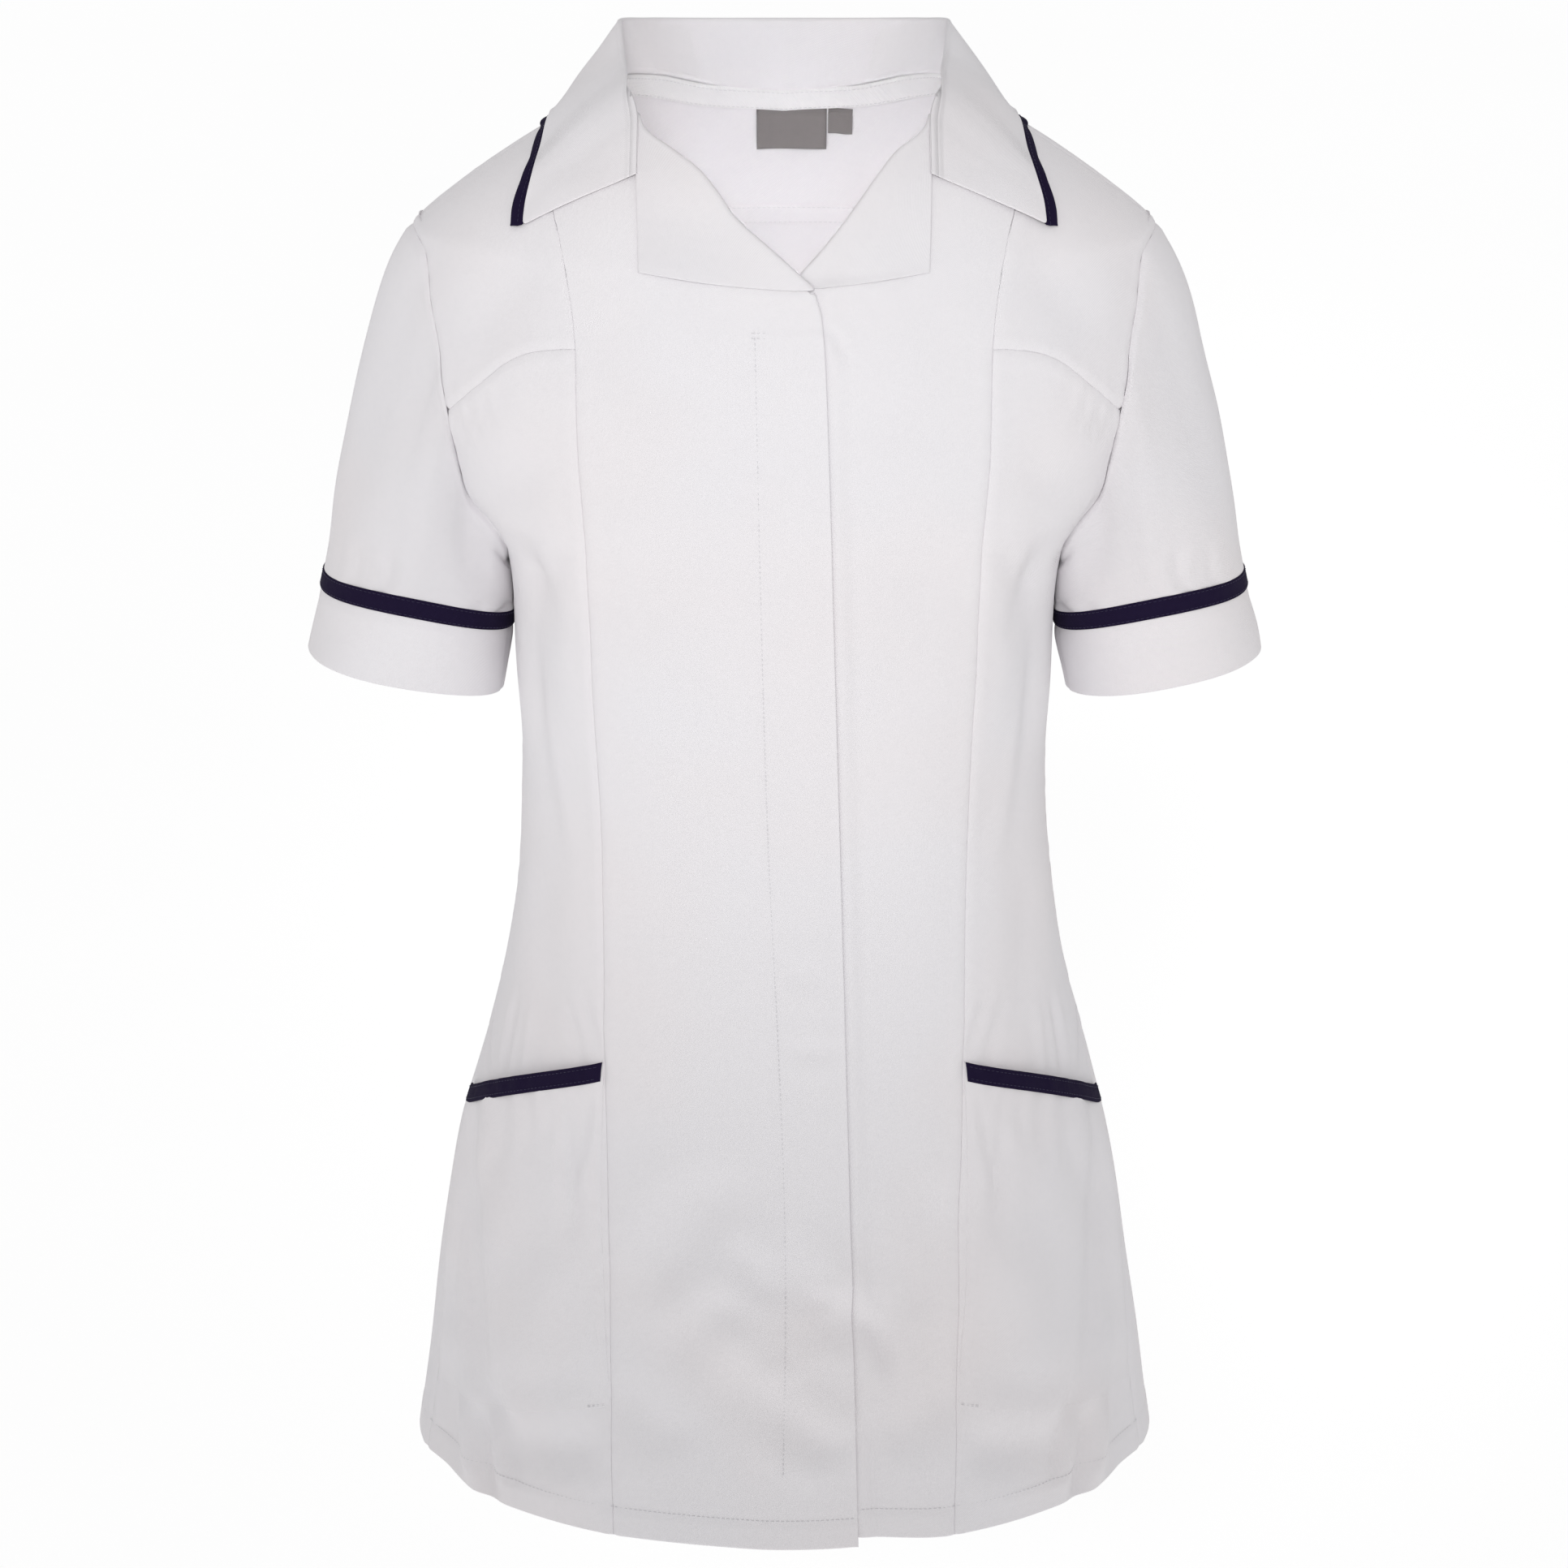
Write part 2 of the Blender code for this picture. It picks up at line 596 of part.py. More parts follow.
def front_edge(right, height):
    """The front's edge, as distances from the middle towards its own side."""
    return rows_of(-FRONT_EDGE_X(height) if right else FRONT_EDGE_X(height) - UNDERLAP, height)


def as_turns(points):
    """Points given by their distances from the middle, as turns."""
    return rows_of(turn_at(points[..., 0], points[..., 1]), points[..., 1])


def front_centre(right):
    """A centre front, from its roll line and shoulder to the hem. x is towards its own side."""
    shoulder = shoulder_side(NECK_SIDE, PRINCESS_TOP, 2, -1)
    upper = princess_side(upper_rows(PRINCESS_TOP), -1)
    lower = princess_side(long_rows(BUST_SEAM_AT_PRINCESS), -1)
    roll = spread(roll_line(right, ROLL_NOSE)[::-1], FRONT_COLUMNS - 3)
    edge = front_edge(right, upper_rows(roll[0, 1]))
    roll[0] = edge[0]

    def across(points):
        return rows_of(form(points[:, 0], points[:, 1])[:, 0], points[:, 1])

    top = np.concatenate([roll, across(shoulder)])
    level = spread(np.stack([edge[-1], across(upper)[-1]]), FRONT_COLUMNS)
    chest = as_turns(patch(top, level, edge, across(upper)))
    chest[0, -3:], chest[:, -1] = shoulder, upper
    lower_edge = as_turns(front_edge(right, long_rows(BUST_SEAM_AT_PRINCESS)))
    hem = spread(np.stack([lower_edge[-1], lower[-1]]), FRONT_COLUMNS)
    grid = np.concatenate([chest, patch(chest[-1], hem, lower_edge, lower)[1:]])
    turn, height = np.moveaxis(grid, -1, 0)
    x = form(turn, height)[..., 0]
    if not right:
        low = np.clip((height - BUST_SEAM_AT_PRINCESS) / (HEM - BUST_SEAM_AT_PRINCESS), 0, 1)
        height = height + LEFT_HEM_RISE * low**4 * ease((0.085 - x) / 0.05)
    faces = laid(turn, height, lap_out(-x if right else x, height, right))
    return mirrored(faces) if right else faces


def side_front_upper():
    first = princess_side(upper_rows(PRINCESS_TOP), 1)
    last = armhole_side(0, ABOVE_BUST_STEPS)
    top = shoulder_side(PRINCESS_TOP - SEAM_GAP, SHOULDER_TIP, 6, -1)
    bottom = bust_seam(6, 1)
    first[0], last[0] = top[0], top[-1]
    first[-1], last[-1] = bottom[0], bottom[-1]
    turn, height = np.moveaxis(patch(top, bottom, first, last), -1, 0)
    return laid(turn, height, 0.0)


def side_front_lower():
    top = np.concatenate([bust_seam(6, -1), armhole_side(ABOVE_BUST_STEPS, 12)[1:]])
    first = princess_side(long_rows(BUST_SEAM_AT_PRINCESS), 1)
    last = side_seam(-1)
    first[0], top[-1] = top[0], last[0]
    bottom = spread(np.stack([first[-1], last[-1]]), len(top) - 1)
    turn, height = np.moveaxis(patch(top, bottom, first, last), -1, 0)
    return laid(turn, height, 0.0)


def back_neck_height(turn):
    """The height of the back neck's edge at each turn from 1 to 3."""
    angle = np.linspace(0, 90, 60)
    height = Track(BACK_NECK, "height", "angle")(angle)
    known = turn_at(Track(BACK_NECK, "x", "angle")(angle), height, True)
    known[0], known[-1] = 1, 2
    return np.interp(2 - np.abs(turn - 2), known, height)


def yoke_seam_turns():
    start = armhole_side(ABOVE_YOKE_STEPS, ABOVE_YOKE_STEPS, True)[0, 0]
    return np.linspace(start, 4 - start, BACK_COLUMNS + 1)


def across_back(points):
    """The wearer's right side of a back panel, from its left side."""
    return points * [-1, 1] + [4, 0]


def back_yoke():
    shoulder = shoulder_side(NECK_SIDE, SHOULDER_TIP, 4, 1)
    first = np.concatenate([shoulder, armhole_side(1, ABOVE_YOKE_STEPS, True)])
    first[-1, 1] += SEAM_GAP / 2
    neck = np.linspace(first[0, 0], 4 - first[0, 0], BACK_COLUMNS + 1)
    top = rows_of(neck, back_neck_height(neck))
    bottom = rows_of(yoke_seam_turns(), first[-1, 1])
    turn, height = np.moveaxis(patch(top, bottom, first, across_back(first)), -1, 0)
    return laid(turn, height, 0.0)


def back_panel():
    first = np.concatenate([armhole_side(ABOVE_YOKE_STEPS, 11, True), side_seam(1)])
    first[0, 1] -= SEAM_GAP / 2
    top = rows_of(yoke_seam_turns(), first[0, 1])
    bottom = spread(np.stack([first[-1], across_back(first[-1])]), BACK_COLUMNS)
    turn, height = np.moveaxis(patch(top, bottom, first, across_back(first)), -1, 0)
    return laid(turn, height, 0.0)


def ring_points(ring, turn):
    """Points around a sleeve ring. turn 0 is outermost, 0.25 behind, 0.5 innermost and 0.75 in front."""
    angle = 2 * math.pi * turn
    across = ring.half_width * np.cos(angle)
    lean = math.radians(ring.lean)
    x = ring.x + across * math.cos(lean)
    y = ring.y + ring.half_depth * np.sin(angle)
    z = ring.z + across * math.sin(lean) + ring.front_rise * np.clip(-np.sin(angle), 0, 1) ** 2
    return np.stack([x, y, z], axis=-1)


def armhole_loop():
    """The armhole's points from the shoulder tip down the back and up the front, the form's normal there, and the way
    out of the torso's cloth."""
    loop = np.concatenate([armhole_side(0, 12, True), armhole_side(1, 11)[::-1]])
    points = on_form(loop[:, 0], loop[:, 1])
    normal = on_form(loop[:, 0], loop[:, 1], 1.0) - points
    along = np.roll(points, -1, axis=0) - np.roll(points, 1, axis=0)
    along /= np.linalg.norm(along, axis=1, keepdims=True)
    return points, normal, np.cross(along, normal)


def sleeve_surface():
    """Rows of points from the armhole to the trim ring, and the ring of points at the hem."""
    start, normal, beyond = armhole_loop()
    turn = np.linspace(0, 1, len(start) + 1)[:-1]
    leave = np.stack([Track(LEAVINGS, axis, "turn")(turn) for axis in "xyz"], axis=-1)
    leave /= np.linalg.norm(leave, axis=1, keepdims=True)
    under = ease((0.32 - np.abs(turn - 0.5)) / 0.22)[:, None]
    start = start + SLEEVE_GAP * (beyond * (1 - under) + normal * under)
    ring, hem = ring_points(TRIM_RING, turn), ring_points(HEM_RING, turn)
    arrive = (hem - ring) / np.linalg.norm(hem - ring, axis=1, keepdims=True)
    pull = SLEEVE_PULL * np.linalg.norm(ring - start, axis=1)[:, None]
    rows = []
    for t in np.linspace(0, 1, SLEEVE_ROWS + 1):
        away = start * (1 + 2 * t) * (1 - t) ** 2 + leave * pull * t * (1 - t) ** 2
        near = ring * t * t * (3 - 2 * t) - arrive * pull * t * t * (1 - t)
        rows.append(away + near)
    points = np.array(rows)
    points[1:] = clear_of_form(points[1:], SLEEVE_CLEAR)
    return points, hem


def sleeves():
    """Each sleeve with its cuff and trim. The trim covers the seam between the other two."""
    surface, hem = sleeve_surface()
    ring = surface[-1]
    seam = ring + CUFF_SEAM * (hem - ring)
    above = seam - 0.012 * (hem - ring)
    cuff = np.array([seam + share * (hem - seam) for share in (0.0, 0.5, 1.0)])
    trim = np.array([ring, seam + 0.04 * (hem - ring)])
    trim_face = 2 * trim - free(trim, TRIM_LAYER, closed=True)[1]
    pair("sleeve", free(np.concatenate([surface, above[None]]), closed=True), WHITE, closed=True)
    pair("cuff", free(cuff, closed=True), WHITE, closed=True)
    pair("cuff_trim", free(trim_face, TRIM_CLOTH, closed=True), NAVY, closed=True)


def revere(right):
    """A revere: the facing turned out over the front. Its inner edge curls over the front's edge at the roll line."""
    rows = 14
    roll = as_turns(roll_line(right))
    roll = roll[roll[:, 1] < REVERE_TOP]
    if not right:
        roll = roll[roll[:, 1] > LEFT_REVERE_END.height]
        tip = LEFT_REVERE_TIP
        end = [turn_at(LEFT_REVERE_END.x, LEFT_REVERE_END.height), LEFT_REVERE_END.height]
        roll = np.concatenate([roll[roll[:, 0] > end[0]], [end, [turn_at(tip.x, tip.height), tip.height]]])
    first = spread(roll, rows)
    side_height = np.linspace(REVERE_SIDE[0].height, REVERE_SIDE[-1].height, rows + 1)
    last = rows_of(turn_at(Track(REVERE_SIDE, "x")(side_height), side_height), side_height)
    across = 7
    top = spread(np.stack([first[0], last[0]]), across)
    low_x = np.linspace(REVERE_LOWER[-1].x if right else LEFT_REVERE_TIP.x, REVERE_LOWER[0].x, 30)
    low_height = Track(REVERE_LOWER, "height", "x")(low_x)
    bottom = spread(rows_of(turn_at(low_x, low_height), low_height), across)
    bottom[0], bottom[-1] = first[-1], last[-1]
    grid = patch(top, bottom, first, last)
    grid = np.concatenate([grid[:, :1], grid], axis=1)
    nose = np.minimum(0.25, 0.0012 / np.maximum(np.abs(grid[:, 2, 0] - grid[:, 1, 0]) * 0.15, 1e-6))
    grid[:, 2] = grid[:, 1] + (grid[:, 2] - grid[:, 1]) * nose[:, None]
    turn, height = np.moveaxis(grid, -1, 0)
    x = form(turn, height)[..., 0]
    layer = np.full(grid.shape[:2], LAYER)
    layer[:, 0], layer[:, 1] = -CLOTH * 0.8, LAYER * 0.5
    layer[-2 if right else -4 :, :2] = [0.8 * LAYER, 0.9 * LAYER] if right else [0.3 * LAYER, 0.8 * LAYER]
    faces = free(on_form(turn, height, layer + lap_out(-x if right else x, height, right)))
    return mirrored(faces) if right else faces


def collar_half():
    """Rows from the neck edge to the outer edge, and columns from centre back to the notch."""
    steps = np.linspace(0, len(STATIONS) - 1, COLLAR_STEPS + 1)
    Knot = namedtuple("Knot", "at value")

    def along(values):
        return Track([Knot(i, value) for i, value in enumerate(values)], "value", "at")(steps)

    def line(kind):
        return np.stack([along([getattr(row, kind)[axis] for row in STATIONS]) for axis in range(3)], axis=-1)

    neck, fold, edge = line("neck"), line("fold"), line("edge")
    folded = along([row.folded for row in STATIONS])[:, None]
    across = (edge - fold) * [1, 1, 0]
    across /= np.linalg.norm(across, axis=1, keepdims=True)
    centre = fold - [0, 0, FOLD_RADIUS]
    arc = []
    for degrees in FOLD_ANGLES:
        angle = math.radians(degrees)
        arc.append(centre + FOLD_RADIUS * (across * math.sin(angle) + np.array([0, 0, math.cos(angle)])))
    rows = [neck, (neck + arc[0]) / 2, *arc]
    for share in FALL_SHARES:
        rows.append(arc[-1] + (edge - arc[-1]) * share + across * COLLAR_BOW * math.sin(math.pi * share))
    flat = [neck + (edge - neck) * share for share in FLAT_SHARES]
    flat += [flat[-1] + (edge - flat[-1]) * share for share in FALL_SHARES]
    points = folded * np.array(rows) + (1 - folded) * np.array(flat)
    near_edge = ease((np.linspace(0, 1, len(FALL_SHARES))[:, None] - 0.3) / 0.6)
    fall_clear = COLLAR_CLEAR + (COLLAR_EDGE_CLEAR - COLLAR_CLEAR) * near_edge
    stand_clear = COLLAR_CLEAR - 0.030 * folded[:, 0]
    clear = np.concatenate([np.tile(stand_clear, (len(FLAT_SHARES), 1)), fall_clear + 0 * stand_clear])
    return clear_of_form(points, clear)


def both_halves(half):
    """A piece from centre back to the wearer's left front, joined to its mirror image."""
    return np.concatenate([half[:, :0:-1], half * [-1, 1, 1]], axis=1)


def collar():
    half = collar_half()
    edge = half[-1]
    fall = edge - half[-2]
    fall /= np.linalg.norm(fall, axis=1, keepdims=True)
    shares = np.linspace(0, 1, 3)[:, None, None]
    strip = edge - COLLAR_TRIM_UNDER * fall + shares * (COLLAR_TRIM_UNDER + COLLAR_TRIM_SHOWN) * fall
    sheet("collar", *free(both_halves(half)), WHITE)
    faces = laid_on_form(strip, COLLAR_TRIM_GAP + TRIM_CLOTH), laid_on_form(strip, COLLAR_TRIM_GAP)
    sheet("collar_trim", *(both_halves(face) for face in faces), NAVY)


def pockets():
    """Each pocket and its trim, between the princess seam and the side seam."""
    columns, rows = 10, 8

    def line(table):
        share = np.linspace(0, 1, columns + 1)
        height = Track(table, "height", "x")(share)
        inner = turn_at(PRINCESS_X(height), height) + 3 * seam_turn(height)
        outer = SIDE_SEAM_TURN(height) - 3 * seam_turn(height)
        return rows_of(inner + share * (outer - inner), height)

    top, bottom = line(POCKET_TOP), line(POCKET_BOTTOM)
    share = np.linspace(0, 1, rows + 1)[:, None, None]
    grid = top + share * (bottom - top)
    turn, height = np.moveaxis(grid, -1, 0)
    across = np.linspace(0, 1, columns + 1)
    ease_out = POCKET_EASE * np.sin(math.pi * across) * (1 - np.linspace(0, 1, rows + 1)[:, None]) ** 1.5
    pair("pocket", laid(turn, height, LAYER + ease_out), WHITE)
    turn, height = np.moveaxis(np.array([top, top - [0, TRIM_WIDTH]]), -1, 0)
    pair("pocket_trim", laid(turn, height, LAYER + TRIM_LAYER + ease_out[:1], TRIM_CLOTH), NAVY)


def neck_tape():
    first = np.searchsorted(np.linspace(1, 3, BACK_COLUMNS + 1), TAPE_TURN)
    turn = np.linspace(1, 3, BACK_COLUMNS + 1)[first:-first]
    top = back_neck_height(turn) - 0.0002
    sheet("neck_tape", *laid(turn, np.array([top, top - TAPE_DEPTH]), -INSIDE, TAPE_CLOTH), WHITE)


def yoke_tape():
    height = YOKE_SEAM - YOKE_TAPE_BELOW + YOKE_TAPE_DEPTH * np.array([[1.0], [0.5], [0.0]])
    sheet("yoke_tape", *laid(yoke_seam_turns()[1:-1], height, -INSIDE, TAPE_CLOTH), WHITE)


def label(name, size):
    """A label of its own size, hanging from the neck tape inside the back. Both are left blank."""
    x = np.linspace(size.x + size.width / 2, size.x - size.width / 2, 5)
    height = size.top - size.depth * np.linspace(0, 1, 3)[:, None] + 0 * x
    turn = np.where(x < 0, 4, 0) + turn_at(x + 0 * height, height, True)
    sheet(name, *laid(turn, height, -INSIDE, TAPE_CLOTH), GREY)


def clear_scene():
    for item in list(bpy.data.objects):
        bpy.data.objects.remove(item)


def main():
    clear_scene()
    sheet("front_centre_right", *front_centre(True), WHITE)
    sheet("front_centre_left", *front_centre(False), WHITE)
    pair("side_front_upper", side_front_upper(), WHITE)
    pair("side_front_lower", side_front_lower(), WHITE)
    sheet("back_yoke", *back_yoke(), WHITE)
    sheet("back_panel", *back_panel(), WHITE)
    sheet("revere_right", *revere(True), WHITE)
    sheet("revere_left", *revere(False), WHITE)
    sleeves()
    collar()
    pockets()
    neck_tape()
    yoke_tape()
    label("main_label", MAIN_LABEL)
    label("size_tab", SIZE_TAB)


main()
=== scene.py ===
"""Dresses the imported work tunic: fine cloth, seams, creases, stitching, finishes, camera and light.

Metres, +Z up. The front faces -Y and the wearer's left is +X. Each sheet of cloth is computed on the same
worn form as its solid, from the same rows, and gets its own creases.
"""
import logging
import math
from dataclasses import dataclass, field
from enum import Enum
from typing import Callable, NamedTuple, Optional, Sequence

import bpy
import numpy as np
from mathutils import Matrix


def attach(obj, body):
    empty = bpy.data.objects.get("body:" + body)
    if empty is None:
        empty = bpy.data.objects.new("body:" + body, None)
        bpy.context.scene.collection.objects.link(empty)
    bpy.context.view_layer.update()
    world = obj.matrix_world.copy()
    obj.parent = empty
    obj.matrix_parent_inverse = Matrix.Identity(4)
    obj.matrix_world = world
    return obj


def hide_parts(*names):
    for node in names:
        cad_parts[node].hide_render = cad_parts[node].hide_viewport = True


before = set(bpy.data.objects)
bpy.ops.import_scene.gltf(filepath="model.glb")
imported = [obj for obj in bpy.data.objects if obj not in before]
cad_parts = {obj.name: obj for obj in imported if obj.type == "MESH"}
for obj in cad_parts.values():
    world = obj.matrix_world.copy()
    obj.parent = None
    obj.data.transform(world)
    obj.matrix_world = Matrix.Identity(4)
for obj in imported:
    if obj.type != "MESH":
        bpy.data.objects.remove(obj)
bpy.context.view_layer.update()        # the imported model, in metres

Points = np.ndarray
Material = bpy.types.Material
Piece = bpy.types.Object
log = logging.getLogger("tunic")

# Cloth and seams
CLOTH = 0.0010
DOUBLE_CLOTH = 0.0014
TAPE_CLOTH = 0.0006
LABEL_CLOTH = 0.0005
CUFF_TRIM_CLOTH = 0.0006
POCKET_TRIM_CLOTH = 0.0008
COLLAR_TRIM_CLOTH = 0.0012
FACING_CLOTH = 0.0011
LAYER = 0.0019
TRIM_LAYER = 0.0008
INSIDE = 0.0018
GRID_STEP = 0.0027
FINE_STEPS = (0.0, 0.0003, 0.0007, 0.0012, 0.0019, 0.0029, 0.0042)
SEAM_DIP = 0.0007
SEAM_ROLL = 0.0026
SEAM_PUFF = 0.00035
PANEL_DIP = 0.0005
SLEEVE_DIP = 0.0003
POCKET_DIP = 0.0006
THREAD_LIFT = 0.00003
STITCH_LINE = 0.0011
RIM_SHARE = 0.35
RIM_AT = 2.1

# Heights that seams and edges share
NECK_SIDE = -0.004
SHOULDER_TIP = -0.074
YOKE_SEAM = -0.094
UNDERARM = -0.240
HEM = -0.716
HEM_BAND = 0.0150
PRINCESS_TOP = -0.026
BUST_SEAM_AT_PRINCESS = -0.1113
BUST_SEAM_AT_ARMHOLE = -0.1504


class Level(NamedTuple):
    """One level of the worn form. square is how full the corners of its section are."""

    height: float
    half_width: float
    front: float
    back: float
    front_square: float
    back_square: float


LEVELS = [
    Level(0.010, 0.066, 0.054, 0.050, 2.0, 2.0),
    Level(0.000, 0.080, 0.060, 0.056, 2.0, 2.0),
    Level(-0.010, 0.0935, 0.066, 0.063, 2.0, 2.0),
    Level(-0.0245, 0.1135, 0.074, 0.072, 2.0, 2.0),
    Level(-0.0356, 0.1311, 0.080, 0.077, 2.0, 2.0),
    Level(-0.0516, 0.1545, 0.088, 0.083, 1.95, 1.95),
    Level(-0.0677, 0.1745, 0.095, 0.088, 1.9, 1.9),
    Level(-0.0740, 0.1800, 0.0975, 0.090, 1.9, 1.9),
    Level(-0.0850, 0.1812, 0.101, 0.093, 1.95, 1.95),
    Level(-0.1060, 0.1830, 0.108, 0.098, 2.05, 2.05),
    Level(-0.1300, 0.1830, 0.1155, 0.103, 2.15, 2.15),
    Level(-0.1540, 0.1790, 0.1215, 0.106, 2.2, 2.2),
    Level(-0.1740, 0.1708, 0.126, 0.1075, 2.25, 2.22),
    Level(-0.1940, 0.1625, 0.1295, 0.108, 2.3, 2.3),
    Level(-0.2094, 0.1492, 0.131, 0.108, 2.4, 2.35),
    Level(-0.2180, 0.1422, 0.132, 0.1075, 2.5, 2.4),
    Level(-0.2277, 0.1370, 0.133, 0.107, 2.55, 2.45),
    Level(-0.2400, 0.1348, 0.1336, 0.106, 2.65, 2.5),
    Level(-0.2550, 0.1334, 0.134, 0.104, 2.7, 2.5),
    Level(-0.2920, 0.1327, 0.130, 0.098, 2.65, 2.45),
    Level(-0.3350, 0.1308, 0.121, 0.090, 2.5, 2.35),
    Level(-0.3690, 0.1316, 0.115, 0.086, 2.4, 2.3),
    Level(-0.4040, 0.1340, 0.112, 0.086, 2.35, 2.3),
    Level(-0.4390, 0.1387, 0.113, 0.091, 2.3, 2.3),
    Level(-0.4750, 0.1463, 0.117, 0.101, 2.25, 2.25),
    Level(-0.5110, 0.1561, 0.122, 0.112, 2.2, 2.2),
    Level(-0.5470, 0.1655, 0.127, 0.121, 2.15, 2.15),
    Level(-0.5830, 0.1719, 0.132, 0.128, 2.1, 2.1),
    Level(-0.6390, 0.1800, 0.139, 0.135, 2.05, 2.05),
    Level(-0.7160, 0.1905, 0.149, 0.143, 2.0, 2.0),
]


class Armhole(NamedTuple):
    """The armhole at one height, as shares of the form's half width."""

    height: float
    front_share: float
    back_share: float


ARMHOLE = [
    Armhole(-0.0740, 1.000, 1.000),
    Armhole(-0.0760, 0.985, 0.988),
    Armhole(-0.0812, 0.956, 0.965),
    Armhole(-0.1041, 0.927, 0.935),
    Armhole(-0.1296, 0.903, 0.920),
    Armhole(-0.1529, 0.902, 0.920),
    Armhole(-0.1751, 0.924, 0.930),
    Armhole(-0.1936, 0.945, 0.950),
    Armhole(-0.2063, 0.962, 0.966),
    Armhole(-0.2182, 0.976, 0.979),
    Armhole(-0.2290, 0.989, 0.990),
    Armhole(-0.2360, 0.997, 0.997),
    Armhole(-0.2400, 1.000, 1.000),
]
ARMHOLE_STEPS = 12
FRONT_STEPS_TO_JOINT = 6
BACK_STEPS_TO_JOINT = 4


class Across(NamedTuple):
    """A place on a long seam or edge: its height, and its distance from the middle."""

    height: float
    x: float


PRINCESS = [
    Across(-0.0260, 0.1158),
    Across(-0.0545, 0.1089),
    Across(-0.0647, 0.1057),
    Across(-0.1113, 0.0986),
    Across(-0.1592, 0.0975),
    Across(-0.2055, 0.0940),
    Across(-0.2964, 0.0908),
    Across(-0.3776, 0.0888),
    Across(-0.4741, 0.0888),
    Across(-0.5513, 0.0878),
    Across(-0.6519, 0.0871),
    Across(-0.7160, 0.0857),
]
BUST_SEAM = [
    Across(-0.1113, 0.0986),
    Across(-0.1120, 0.1056),
    Across(-0.1155, 0.1212),
    Across(-0.1220, 0.1331),
    Across(-0.1291, 0.1411),
    Across(-0.1392, 0.1513),
    Across(-0.1504, 0.1610),
]
FRONT_EDGE = [
    Across(-0.0808, 0.0142),
    Across(-0.0945, 0.0179),
    Across(-0.1216, 0.0198),
    Across(-0.2471, 0.0238),
    Across(-0.4631, 0.0302),
    Across(-0.7160, 0.0373),
]
# The fold of each revere, from the neck to the break, towards the revere's own side
ROLL_RIGHT = [
    Across(-0.0035, 0.0712),
    Across(-0.0141, 0.0668),
    Across(-0.0222, 0.0523),
    Across(-0.0295, 0.0404),
    Across(-0.0387, 0.0316),
    Across(-0.0495, 0.0232),
    Across(-0.0619, 0.0080),
    Across(-0.0746, -0.0072),
    Across(-0.0808, -0.0142),
]
ROLL_LEFT = [
    Across(-0.0035, 0.0712),
    Across(-0.0143, 0.0672),
    Across(-0.0228, 0.0535),
    Across(-0.0318, 0.0447),
    Across(-0.0455, 0.0337),
    Across(-0.0610, 0.0205),
    Across(-0.0729, 0.0090),
    Across(-0.0975, -0.0158),
]
SIDE_SEAM = [
    Across(-0.2400, 1.000),
    Across(-0.4600, 0.972),
    Across(-0.5197, 0.916),
    Across(-0.5637, 0.904),
    Across(-0.6121, 0.893),
    Across(-0.6620, 0.872),
    Across(-0.7160, 0.868),
]
REVERE_SIDE = [Across(-0.0110, 0.0708), Across(-0.0326, 0.0694), Across(-0.0752, 0.0685)]
REVERE_LOWER = [
    Across(-0.0752, 0.0685),
    Across(-0.0788, 0.0365),
    Across(-0.0807, 0.0099),
    Across(-0.0815, -0.0072),
    Across(-0.0814, -0.0142),
]
REVERE_TOP = -0.0090
LEFT_REVERE_END = Across(-0.0752, 0.0067)
LEFT_REVERE_TIP = Across(-0.0805, 0.0118)
# Pocket edges, as shares of the way from the princess seam to the side seam
POCKET_TOP = [
    Across(-0.4734, 0.00),
    Across(-0.4868, 0.33),
    Across(-0.5024, 0.66),
    Across(-0.5136, 0.88),
    Across(-0.5190, 1.00),
]
POCKET_BOTTOM = [
    Across(-0.6497, 0.00),
    Across(-0.6584, 0.25),
    Across(-0.6678, 0.55),
    Across(-0.6760, 1.00),
]
# The row of stitches that holds the fly
PLACKET_STITCH = [
    Across(-0.1017, -0.0137),
    Across(-0.3333, -0.0082),
    Across(-0.5856, 0.0008),
    Across(-0.6780, -0.0004),
]

UNDERLAP = 0.030
LAP_LIFT = 0.0010
LAP_SINK = 0.0006
LAP_BLEND = 0.028
LAP_MARGIN = 0.012
LEFT_HEM_RISE = 0.0045
ROLL_NOSE = 0.0026
ROLL_RADIUS = 0.0018
FACING = 0.014
TRIM_WIDTH = 0.0100
POCKET_EASE = 0.0030
POCKET_WIDE = 0.12
POCKET_DEEP = 0.17
POCKET_INSET = 0.0022
POCKET_BOW = 0.0015
HEM_THICKER = 0.0004


class NeckPoint(NamedTuple):
    """A place on the back neck, by the angle from the side of the neck to the nape."""

    angle: float
    height: float
    x: float


BACK_NECK = [
    NeckPoint(0.0, -0.0040, 0.0862),
    NeckPoint(22.5, -0.0063, 0.0790),
    NeckPoint(45.0, -0.0117, 0.0605),
    NeckPoint(67.5, -0.0208, 0.0327),
    NeckPoint(90.0, -0.0245, 0.0),
]


class Fold(NamedTuple):
    """A large ridge (+) or trough (-) of the worn form, which the solids have too."""

    turn: float
    height: float
    lean: float
    half_width: float
    reach: float
    depth: float


